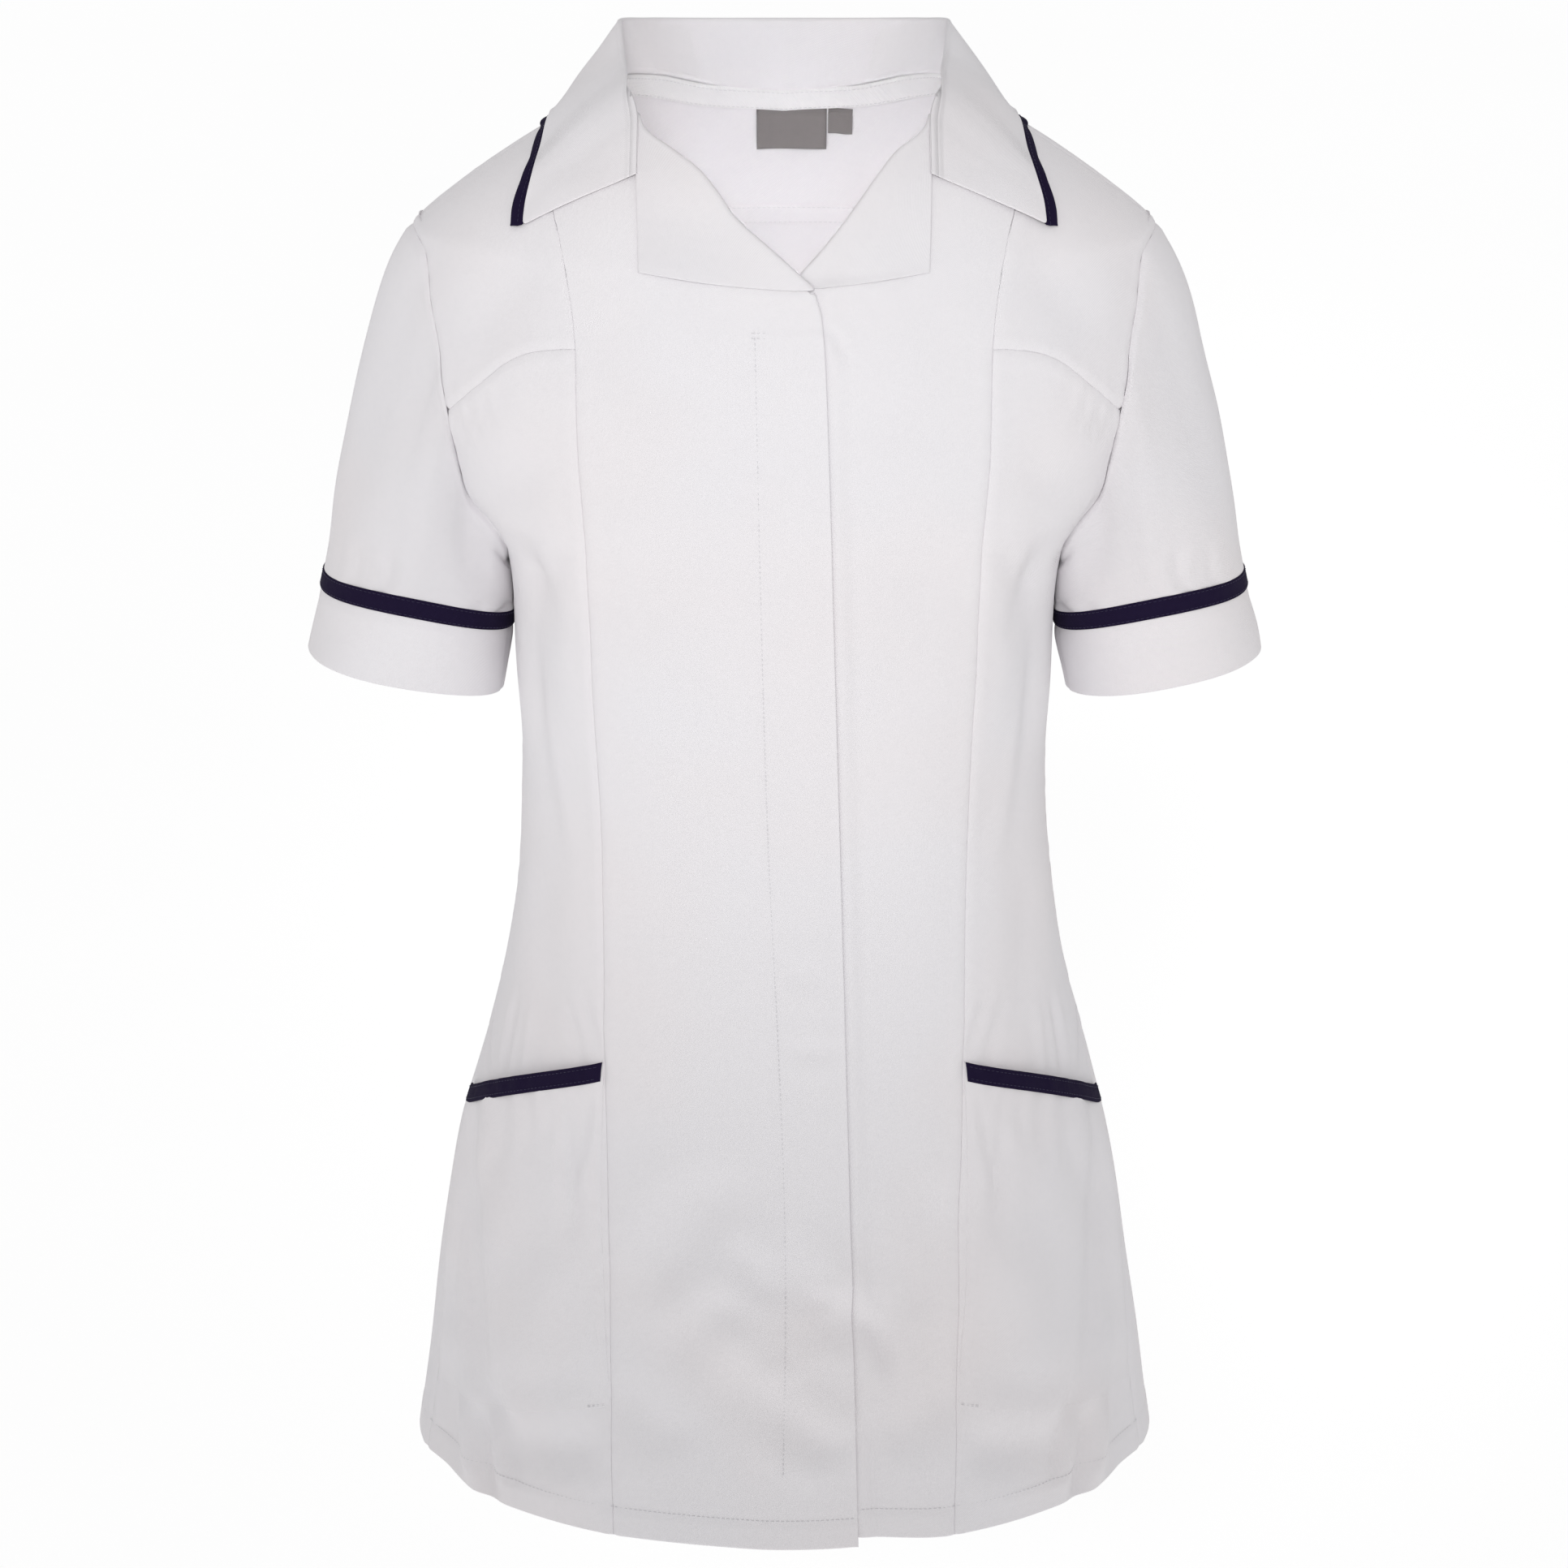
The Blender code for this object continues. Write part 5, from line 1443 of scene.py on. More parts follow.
    def yoke_stitches(self) -> Piece:
        """Two rows above the yoke seam, on the outside."""
        row = Stitching("yoke_stitching", self.wardrobe.thread, "white_cloth")
        start = float(armhole_line(BACK_STEPS_TO_JOINT, BACK_STEPS_TO_JOINT + 1, True)[0, 0])
        turn = np.linspace(start + 0.01, 3.99 - start, 500)
        for above in (0.0022, 0.0068):
            height = YOKE_SEAM + above + 0 * turn
            self.stitched(row, turn, height, 0.0)
        return row.build()


def back_neck_height(turn: Points) -> Points:
    """The height of the back neck's edge at each turn from 1 to 3."""
    angle = np.linspace(0, 90, 120)
    height = Curve(BACK_NECK, "height", "angle")(angle)
    known = FORM.turn_at(Curve(BACK_NECK, "x", "angle")(angle), height, True)
    known[0], known[-1] = 1, 2
    return np.interp(2 - np.abs(turn - 2), known, height)


@dataclass
class Revere:
    """A revere: the facing, turned out over the front and wrapped round its edge at the roll line."""

    wardrobe: Wardrobe
    right: bool
    thickness: float = FACING_CLOTH
    rows: int = 90

    def sides(self) -> tuple[Points, Points, Points, Points]:
        """Its top, bottom, roll and side lines, as turns and heights."""
        roll = FORM.as_turns(roll_line(self.right))
        roll = roll[roll[:, 1] < REVERE_TOP]
        if not self.right:
            roll = roll[roll[:, 1] > LEFT_REVERE_END.height]
            ends = np.array([[place.x, place.height] for place in (LEFT_REVERE_END, LEFT_REVERE_TIP)])
            ends = FORM.as_turns(ends)
            roll = np.concatenate([roll[roll[:, 0] > ends[0, 0]], ends])
        height = np.linspace(REVERE_SIDE[0].height, REVERE_SIDE[-1].height, 60)
        side = FORM.as_turns(rows_of(Curve(REVERE_SIDE, "x")(height), height))
        low_x = np.linspace(REVERE_LOWER[-1].x if self.right else LEFT_REVERE_TIP.x, REVERE_LOWER[0].x, 60)
        bottom = FORM.as_turns(rows_of(low_x, Curve(REVERE_LOWER, "height", "x")(low_x)))
        bottom[0], bottom[-1] = roll[-1], side[-1]
        return np.stack([roll[0], side[0]]), bottom, roll, side

    def sheet(self) -> Sheet:
        """The wrapped facing, from inside the front, round the roll, to the outer edge."""
        top, bottom, roll, side = self.sides()
        q = shares(0.075, Edge.CUT, Edge.FOLD, 0.0018)[:, None]
        start = FORM.smooth(*np.moveaxis(along(roll, q[:, 0]), -1, 0))
        end = FORM.smooth(*np.moveaxis(along(side, q[:, 0]), -1, 0))
        width = np.maximum(np.linalg.norm(end - start, axis=-1), 0.004)[:, None]
        facing = np.linspace(FACING, ROLL_RADIUS, 7)[:-1]
        angle = np.radians(np.linspace(-90, 90, 11))
        inside_out, outside_out = -0.00195, LAYER - self.thickness / 2
        centre, radius = (inside_out + outside_out) / 2, (outside_out - inside_out) / 2
        arc = ROLL_RADIUS * (1 - np.cos(angle))
        flat = shares(0.05, Edge.CUT, Edge.FOLD, 0.0022)[1:]
        begin = np.minimum(ROLL_RADIUS / width, 0.5)
        inner, rolled = np.minimum(facing / width, 0.9), np.minimum(arc / width, 0.5)
        p = np.concatenate([inner, rolled, begin + (1 - begin) * flat[None]], axis=1)
        inner, rolled = np.full(len(facing), inside_out), centre + radius * np.sin(angle)
        out = np.concatenate([inner, rolled, np.full(len(flat), outside_out)])
        grid = between(top, bottom, roll, side, p, q + 0 * p)
        turn, height = np.moveaxis(grid, -1, 0)
        x = FORM.smooth(turn, height)[..., 0]
        lift = 0.0005 * ease((p - begin) / 0.25) * ripple(rows_of(x, height), 0.035, 8 + self.right)
        lift = lift * (out > 0)
        out = out + lift + lap_out(-x if self.right else x, height, self.right)
        if not self.right:
            roll_x = Curve([Across(row.height, -row.x) for row in ROLL_RIGHT], "x")(height)
            shown = np.maximum(roll_x, FRONT_EDGE_X(height) * (height < ROLL_RIGHT[-1].height))
            under = ease(1 - (x - shown - 0.0005) / 0.0040)
            out = out - under * 0.0016
        middle = FORM.on(turn, height, out)
        normals = surface_normals(middle)
        face = middle + normals * self.thickness / 2
        name = "revere_right" if self.right else "revere_left"
        edges = {"top": Edge.CUT, "bottom": Edge.FOLD, "first": Edge.CUT, "last": Edge.FOLD}
        if self.right:
            face, normals = (face * [-1, 1, 1])[:, ::-1], (normals * [-1, 1, 1])[:, ::-1]
            edges["first"], edges["last"] = Edge.FOLD, Edge.CUT
        edges["thickness"] = self.thickness
        return Sheet(name, face, normals, self.wardrobe.white, "white_cloth", **edges)

    def build(self) -> None:
        """Makes the revere."""
        sheet = self.sheet()
        declare(sheet.build(), sheet)


def surface_normals(points: Points, closed: bool = False) -> Points:
    """The way out of a grid of points."""
    around = np.gradient(points, axis=1)
    if closed:
        around = np.roll(points, -1, axis=1) - np.roll(points, 1, axis=1)
    return unit(np.cross(np.gradient(points, axis=0), around))


class Ring(NamedTuple):
    """A ring around a sleeve. lean is the slope down towards the body, in degrees."""

    x: float
    y: float
    z: float
    half_width: float
    half_depth: float
    lean: float
    front_rise: float


TRIM_RING = Ring(0.18005, -0.0040, -0.25640, 0.04850, 0.04675, 11.9, 0.0076)
HEM_RING = Ring(0.18836, -0.0040, -0.29877, 0.04915, 0.0460, 11.1, 0.0031)
SLEEVE_GAP = -0.0004
SLEEVE_PULL = 0.58
SLEEVE_CLEAR = 0.0009
CUFF_SEAM = 0.190
CUFF_TRIM_OUT = 0.0004
ARM_ROUND = 0.29
ARM_LENGTH = 0.16
SLEEVE_BOW = 0.002
SEAM_UNDER = 0.0017


class Leaving(NamedTuple):
    """The way that the sleeve's cloth leaves the armhole, at one turn."""

    turn: float
    x: float
    y: float
    z: float


LEAVINGS = [
    Leaving(0.00, 0.70, 0.00, -0.71),
    Leaving(0.12, 0.58, 0.22, -0.78),
    Leaving(0.30, 0.30, 0.22, -0.92),
    Leaving(0.42, 0.10, 0.02, -1.00),
    Leaving(0.50, 0.03, 0.00, -1.00),
    Leaving(0.58, 0.10, -0.02, -1.00),
    Leaving(0.70, 0.30, -0.22, -0.92),
    Leaving(0.88, 0.58, -0.22, -0.78),
    Leaving(1.00, 0.70, 0.00, -0.71),
]


class PlacedCrease(NamedTuple):
    """A crease from one place to another, by the tables' own measures across and down."""

    across: float
    down: float
    end_across: float
    end_down: float
    width: float
    depth: float


# Across is the turn round the sleeve, and down the share of the way down
SLEEVE_CREASES = [
    PlacedCrease(0.800, 0.80, 0.812, 1.00, 0.0035, -0.0017),
    PlacedCrease(0.832, 0.86, 0.838, 1.00, 0.0030, -0.0014),
    PlacedCrease(0.862, 0.84, 0.860, 1.00, 0.0040, -0.0013),
    PlacedCrease(0.640, 0.88, 0.646, 1.00, 0.0040, -0.0008),
    PlacedCrease(0.560, 0.80, 0.590, 1.00, 0.0055, -0.0015),
    PlacedCrease(0.700, 0.25, 0.760, 0.90, 0.0160, -0.0018),
    PlacedCrease(0.600, 0.10, 0.660, 0.70, 0.0110, -0.0016),
    PlacedCrease(0.860, 0.15, 0.900, 0.75, 0.0180, -0.0014),
    PlacedCrease(0.540, 0.05, 0.600, 0.30, 0.0060, -0.0012),
    PlacedCrease(0.120, 0.20, 0.160, 0.80, 0.0180, -0.0016),
    PlacedCrease(0.250, 0.10, 0.300, 0.80, 0.0150, -0.0022),
    PlacedCrease(0.380, 0.10, 0.340, 0.70, 0.0110, -0.0020),
    PlacedCrease(0.420, 0.55, 0.400, 1.00, 0.0060, -0.0014),
]


@dataclass
class Sleeve:
    """A sleeve with its cuff and the navy trim over the seam between them."""

    wardrobe: Wardrobe
    left: bool
    around_count: int = 132
    seam_turn: float = 0.535

    def armhole(self) -> tuple[Points, Points, Points]:
        """The armhole from the shoulder tip down the back and up the front.

        Returns:
            Its points, the form's normal, and the way out of the torso's cloth.
        """
        step = np.linspace(0, 2 * ARMHOLE_STEPS, self.around_count + 1)[:-1]
        half = self.around_count // 2
        places = []
        for back, part in ((True, step[:half]), (False, 2 * ARMHOLE_STEPS - step[half:])):
            height = armhole_height(part, back)
            turn = FORM.turn_at(ARMHOLE_SHARE[back](height) * FORM.half_width(height), height, back)
            places.append(rows_of(turn, height))
        loop = np.concatenate(places)
        if not self.left:
            loop = loop * [-1, 1]
        flip = [1 if self.left else -1, 1, 1]
        points = FORM.on(loop[:, 0], loop[:, 1]) * flip
        normal = FORM.normal(loop[:, 0], loop[:, 1]) * flip
        way = unit(np.roll(points, -1, axis=0) - np.roll(points, 1, axis=0))
        return points, normal, np.cross(way, normal)

    def ring(self, ring: Ring, turn: Points) -> Points:
        """Points around a ring. turn 0 is outermost, 0.25 behind, 0.5 innermost and 0.75 in front."""
        angle = 2 * math.pi * turn
        across = ring.half_width * np.cos(angle)
        lean = math.radians(ring.lean)
        rise = ring.front_rise * np.clip(-np.sin(angle), 0, 1) ** 2
        return rows_of(
            ring.x + across * math.cos(lean),
            ring.y + ring.half_depth * np.sin(angle),
            ring.z + across * math.sin(lean) + rise,
        )

    def surface(self) -> tuple[Points, Points, Points, tuple[Points, Points]]:
        """The sleeve's smooth form.

        Returns:
            Rows of points from the armhole to the trim ring, the ring at the hem, each row's share of the
            way, and both faces of the seam's turned-in edge.
        """
        start, normal, beyond = self.armhole()
        turn = np.linspace(0, 1, len(start) + 1)[:-1]
        leave = unit(np.stack([Curve(LEAVINGS, axis, "turn")(turn) for axis in "xyz"], axis=-1))
        under = ease((0.32 - np.abs(turn - 0.5)) / 0.22)[:, None]
        low = normal * SEAM_UNDER
        turned_in = np.array([start - beyond * 0.006 - low, start + beyond * 0.004 - low])
        start = start + SLEEVE_GAP * (beyond * (1 - under) + normal * under)
        ring, hem = self.ring(TRIM_RING, turn), self.ring(HEM_RING, turn)
        arrive = unit(hem - ring)
        pull = SLEEVE_PULL * np.linalg.norm(ring - start, axis=1)[:, None]
        rows = []
        down = shares(0.15, Edge.SEAM, Edge.CUT, 0.0024)
        for t in down:
            away = start * (1 + 2 * t) * (1 - t) ** 2 + leave * pull * t * (1 - t) ** 2
            near = ring * t * t * (3 - 2 * t) - arrive * pull * t * t * (1 - t)
            rows.append(away + near)
        points = np.array(rows)
        away = np.linalg.norm(points - points[0], axis=-1)
        first = FORM.distance_out(points[0])[0]
        gap = first + (SLEEVE_CLEAR - first) * ease(away / 0.014)
        points[1:] = FORM.clear(points[1:], gap[1:])
        return points, hem, down, (turned_in, turned_in - normal * 0.0005)

    def crease(self, points: Points, down: Points) -> Points:
        """How far the creases lift each point of the sleeve."""
        turn = np.linspace(0, 1, points.shape[1] + 1)[:-1]
        places = rows_of(turn[None, :] * ARM_ROUND, down[:, None] * ARM_LENGTH)
        lift = 0.0007 * ripple(points, 0.06, 13 + self.left) * ease((1 - down) / 0.2)[:, None]
        for row in SLEEVE_CREASES:
            start = np.array([row.across * ARM_ROUND, row.down * ARM_LENGTH])
            end = np.array([row.end_across * ARM_ROUND, row.end_down * ARM_LENGTH])
            lift = lift + crease_lift(places, start, end, row.width, row.depth, SLEEVE_BOW)
        seam = np.abs(turn - self.seam_turn) * ARM_ROUND
        lift = lift - 0.0006 * np.exp(-((seam / 0.0016) ** 2))[None, :]
        lift = lift - ease((down - 0.9) / 0.1)[:, None] * np.clip(lift - 0.0001, 0, None)
        return lift * ease(down / 0.06)[:, None]

    def mirror(self, points: Points) -> Points:
        """The points on this sleeve's own side."""
        return points if self.left else (points * [-1, 1, 1])[:, ::-1]

    def cloth(self, name: str, points: Points, finish: Material, slot: str, **edges: object) -> Sheet:
        """A closed sheet round the arm."""
        normals = surface_normals(points, True)
        side = "left" if self.left else "right"
        points, normals = self.mirror(points), self.mirror(normals)
        return Sheet(name + "_" + side, points, normals, finish, slot, closed=True, **edges)

    def build(self) -> None:
        """Makes the sleeve, its cuff and its trim."""
        surface, hem, down, turned_in = self.surface()
        normals = surface_normals(surface, True)
        surface = surface + normals * self.crease(surface, down)[..., None]
        ring = surface[-1]
        seam = ring + CUFF_SEAM * (hem - ring)
        above = seam - 0.012 * (hem - ring)
        upper = np.concatenate([surface, [ring + share * (above - ring) for share in (0.35, 0.7, 1.0)]])
        edges = {"bottom": Edge.CUT, "seed": 61 + self.left, "dip": SLEEVE_DIP}
        sheet = self.cloth("sleeve", upper, self.wardrobe.white, "white_cloth", **edges)
        sheet.allowance = tuple(self.mirror(face) for face in turned_in)
        declare(sheet.build(), sheet)
        share = shares(0.031, Edge.CUT, Edge.FOLD, 0.0016)[:, None, None]
        turn = np.linspace(0, 1, len(ring) + 1)[:-1]
        smooth_seam = self.ring(TRIM_RING, turn)
        smooth_seam = smooth_seam + CUFF_SEAM * (hem - smooth_seam)
        cuff = smooth_seam + share * (hem - smooth_seam)
        outward = surface_normals(cuff, True)
        line = np.exp(-((np.abs(turn - self.seam_turn) * ARM_ROUND / 0.0013) ** 2))
        wave = 0.0008 * ripple(cuff, 0.045, 17 + self.left) * ease(share[..., 0] / 0.3)
        fold = 0.0005 * np.exp(-(((share[..., 0] - 0.06) / 0.05) ** 2))
        cuff = cuff + outward * (wave - 0.0006 * line[None, :] - fold)[..., None]
        edges = {"top": Edge.CUT, "bottom": Edge.FOLD, "thickness": DOUBLE_CLOTH}
        sheet = self.cloth("cuff", cuff, self.wardrobe.white, "white_cloth", **edges)
        declare(sheet.build(), sheet)
        self.build_trim(turn, hem)

    def build_trim(self, turn: Points, hem: Points) -> None:
        """The navy trim and the rows of stitches along its edges."""
        ring = self.ring(TRIM_RING, turn)
        low = ring + (CUFF_SEAM + 0.022) * (hem - ring)
        share = shares(0.009, Edge.FOLD, Edge.FOLD, 0.0012)[:, None, None]
        band = ring + share * (low - ring)
        normals = surface_normals(band, True)
        crown = CUFF_TRIM_OUT + 0.0002 * np.sin(math.pi * share[..., 0])
        crown = crown + 0.00006 * ripple(band, 0.014, 23)
        band = band + normals * crown[..., None]
        edges = {**ALL_FOLDED, "thickness": CUFF_TRIM_CLOTH, "turned_under": 0.0014}
        sheet = self.cloth("cuff_trim", band, self.wardrobe.navy, "navy_cloth", **edges)
        side = "left" if self.left else "right"
        row = Stitching("cuff_trim_stitching_" + side, self.wardrobe.navy_thread, "navy_cloth")
        for k in (3, -4):
            line = np.concatenate([band[k], band[k, :1]])
            out = np.concatenate([normals[k], normals[k, :1]])
            flip = [1 if self.left else -1, 1, 1]
            row.add((line + out * THREAD_LIFT) * flip, out * flip)
        declare(sheet.build(), sheet, [row.build()])


class Station(NamedTuple):
    """A place along the collar.

    neck is where it is sewn, fold the top of its fold, edge its outer edge, and folded how far it is folded.
    """

    neck: tuple[float, float, float]
    fold: tuple[float, float, float]
    edge: tuple[float, float, float]
    folded: float


STATIONS = [
    Station((0.0000, 0.0704, -0.0235), (0.0000, 0.0790, 0.0104), (0.0000, 0.0860, -0.0460), 1.0),
    Station((0.0322, 0.0650, -0.0198), (0.0400, 0.0745, 0.0114), (0.0480, 0.0800, -0.0435), 1.0),
    Station((0.0595, 0.0496, -0.0107), (0.0680, 0.0570, 0.0152), (0.0850, 0.0640, -0.0385), 1.0),
    Station((0.0776, 0.0268, -0.0052), (0.0797, 0.0310, 0.0195), (0.1075, 0.0345, -0.0295), 1.0),
    Station((0.0840, 0.0000, -0.0027), (0.0776, 0.0040, 0.0095), (0.1137, -0.0040, -0.0202), 1.0),
    Station((0.0810, -0.0158, -0.0036), (0.0760, -0.0120, 0.0068), (0.1173, -0.0330, -0.0294), 1.0),
    Station((0.0730, -0.0325, -0.0045), (0.0738, -0.0333, 0.0008), (0.1203, -0.0466, -0.0393), 0.25),
    Station((0.0695, -0.0500, -0.0112), (0.0706, -0.0501, -0.0101), (0.1234, -0.0560, -0.0501), 0.0),
    Station((0.0697, -0.0690, -0.0322), (0.0708, -0.0690, -0.0311), (0.1247, -0.0620, -0.0587), 0.0),
]
FOLD_RADIUS = 0.0024
COLLAR_CLEAR = 0.0022
COLLAR_EDGE_CLEAR = 0.0032
COLLAR_BOW = 0.0032
COLLAR_TRIM_SHOWN = 0.0066
COLLAR_TRIM_UNDER = 0.0048


class Knot(NamedTuple):
    """A value at a place along a curve."""

    at: float
    value: float


@dataclass
class Collar:
    """The collar on its stand, folded over, with the navy trim under its outer edge."""

    wardrobe: Wardrobe
    step_count: int = 110
    thickness: float = FACING_CLOTH

    def track(self, values: Sequence[float], steps: Points) -> Points:
        """A smooth curve through one value of each station."""
        return Curve([Knot(i, value) for i, value in enumerate(values)], "value", "at")(steps)

    def half(self) -> Points:
        """Rows from the neck edge to the outer edge, and columns from centre back to the notch."""
        steps = np.linspace(0, len(STATIONS) - 1, self.step_count)
        near_notch = np.array([0.045, 0.028, 0.015, 0.006, 0.0])
        steps = np.concatenate([steps[:-1], len(STATIONS) - 1 - near_notch])

        def line(kind: str) -> Points:
            """One line of the stations, at each step."""
            columns = zip(*(getattr(row, kind) for row in STATIONS))
            return np.stack([self.track(column, steps) for column in columns], axis=-1)

        neck, fold, edge = line("neck"), line("fold"), line("edge")
        folded = self.track([row.folded for row in STATIONS], steps)[:, None]
        across = unit((edge - fold) * [1, 1, 0])
        radius = np.interp(steps, [0, 2, 3, 5, 8], [FOLD_RADIUS, 0.0022, 0.0014, 0.0012, 0.0011])[:, None]
        centre = fold - [0, 0, 1] * radius
        arc = []
        for degrees in np.linspace(-90, 90, 11):
            angle = math.radians(degrees)
            arc.append(centre + radius * (across * math.sin(angle) + np.array([0, 0, math.cos(angle)])))
        stand = np.linspace(0, 1, 11)[:-1]
        fall = shares(0.055, Edge.CUT, Edge.FOLD, 0.0022)[1:]
        under = FORM.clear(neck - [0, 0, 0.0032], -FACING_CLOTH, True)
        inner = fold - [0, 0, 1] * radius - across * radius
        tucked = folded * under + (1 - folded) * (inner + 0.0004 * unit(inner - edge))
        rows = [neck + (arc[0] - neck) * share for share in stand] + arc
        for share in fall:
            bow = across * COLLAR_BOW * math.sin(math.pi * share)
            rows.append(arc[-1] + (edge - arc[-1]) * share + bow)
        flat_shares = np.linspace(0, 0.12, len(stand) + len(arc))
        flat = [inner + (edge - inner) * share for share in flat_shares]
        flat += [flat[-1] + (edge - flat[-1]) * share for share in fall]
        points = np.concatenate([tucked[None], folded * np.array(rows) + (1 - folded) * np.array(flat)])
        near_edge = ease((fall[:, None] - 0.3) / 0.6)
        fall_clear = COLLAR_CLEAR + (COLLAR_EDGE_CLEAR - COLLAR_CLEAR) * near_edge
        stand_clear = COLLAR_CLEAR - 0.030 * ease((folded[:, 0] - 0.25) / 0.5)
        stand_clear = np.tile(stand_clear, (len(points) - len(fall), 1))
        fall_clear = np.broadcast_to(fall_clear, (len(fall), stand_clear.shape[1]))
        return FORM.clear(points, np.concatenate([stand_clear, fall_clear]))

    def whole(self, half: Points) -> Points:
        """A piece from centre back to the wearer's left front, joined to its mirror image."""
        return np.concatenate([half[:, :0:-1], half * [-1, 1, 1]], axis=1)

    def round_tip(self, half: Points) -> Points:
        """The half with the corner between its outer edge and its front edge rounded off."""
        corner, radius = half[-1, -1], 0.0024
        down = np.linalg.norm(half[:, -1:] - corner, axis=-1)
        along_edge = np.linalg.norm(half[-1:, :] - corner, axis=-1)
        u, v = np.broadcast_arrays(down, along_edge)
        gap = np.hypot(np.clip(radius - u, 0, None), np.clip(radius - v, 0, None))
        excess = np.clip(gap - radius, 0, None)
        inward = unit(half[-12, -12] - corner)
        return half + inward * (excess * 1.1)[..., None]

    def build(self) -> None:
        """Makes the collar, its trim and its stitches."""
        half = self.half()
        rounded = self.round_tip(half)
        face = self.whole(rounded)
        normals = surface_normals(face)
        lift = 0.0007 * ripple(face, 0.05, 29)
        rows = len(face)
        lift = lift * ease((np.arange(rows) - 20) / 10)[:, None]
        face = face + normals * lift[..., None]
        edges = {**TOP_TUCKED, "thickness": self.thickness}
        sheet = Sheet("collar", face, normals, self.wardrobe.white, "white_cloth", **edges)
        row = Stitching("stand_stitching", self.wardrobe.thread, "white_cloth")
        reach = slice(26, -26)
        line = face[2, reach] - normals[2, reach] * (self.thickness + 0.00002)
        row.add(line, -normals[2, reach])
        declare(sheet.build(), sheet, [row.build()])
        self.build_trim(half)

    def build_trim(self, half: Points) -> None:
        """The navy trim that shows past the outer edge."""
        edge, out = half[-1], -surface_normals(half)[-1]
        way = unit(np.gradient(edge, axis=0))
        fall = edge - half[-6]
        fall = unit(fall - (fall * way).sum(-1, keepdims=True) * way)
        share = shares(0.008, Edge.CUT, Edge.FOLD, 0.0010)[:, None, None]
        strip = edge - COLLAR_TRIM_UNDER * fall + share * (COLLAR_TRIM_UNDER + COLLAR_TRIM_SHOWN) * fall
        swell = 0.0004 * ease((share - 0.55) / 0.3)
        strip = strip + out * (swell - self.thickness - 0.0001)
        left = np.cumsum(np.linalg.norm(np.diff(edge[::-1], axis=0), axis=1))
        left = np.concatenate([left[::-1], [0]])[:, None]
        hidden = COLLAR_TRIM_UNDER + 0.0010 - share * (COLLAR_TRIM_UNDER + COLLAR_TRIM_SHOWN)
        strip = strip - way * np.clip(hidden, 0, None) * ease(1 - left / 0.024)
        face = self.whole(FORM.clear(strip, 0.0017))
        normals = surface_normals(face)
        edges = {**TOP_TUCKED, "thickness": COLLAR_TRIM_CLOTH}
        sheet = Sheet("collar_trim", face, normals, self.wardrobe.navy, "navy_cloth", **edges)
        row = Stitching("collar_trim_stitching", self.wardrobe.navy_thread, "navy_cloth")
        row.add_rows(sheet, (-6,))
        declare(sheet.build(), sheet, [row.build()])


# Across is metres from the princess seam, and down metres from the mouth
POCKET_CREASES = [
    PlacedCrease(0.004, 0.004, 0.012, 0.050, 0.0032, -0.0018),
    PlacedCrease(0.014, 0.004, 0.012, 0.036, 0.0035, -0.0017),
    PlacedCrease(0.024, 0.003, 0.016, 0.060, 0.0040, -0.0018),
    PlacedCrease(0.034, 0.003, 0.030, 0.034, 0.0040, -0.0014),
    PlacedCrease(0.048, 0.003, 0.044, 0.040, 0.0060, -0.0013),
    PlacedCrease(0.066, 0.003, 0.062, 0.045, 0.0070, -0.0013),
    PlacedCrease(0.022, 0.036, 0.014, 0.080, 0.0050, -0.0018),
    PlacedCrease(0.098, 0.010, 0.102, 0.130, 0.0090, -0.0026),
    PlacedCrease(0.080, 0.050, 0.088, 0.150, 0.0110, -0.0021),
    PlacedCrease(0.020, 0.090, 0.050, 0.150, 0.0140, 0.0018),
]


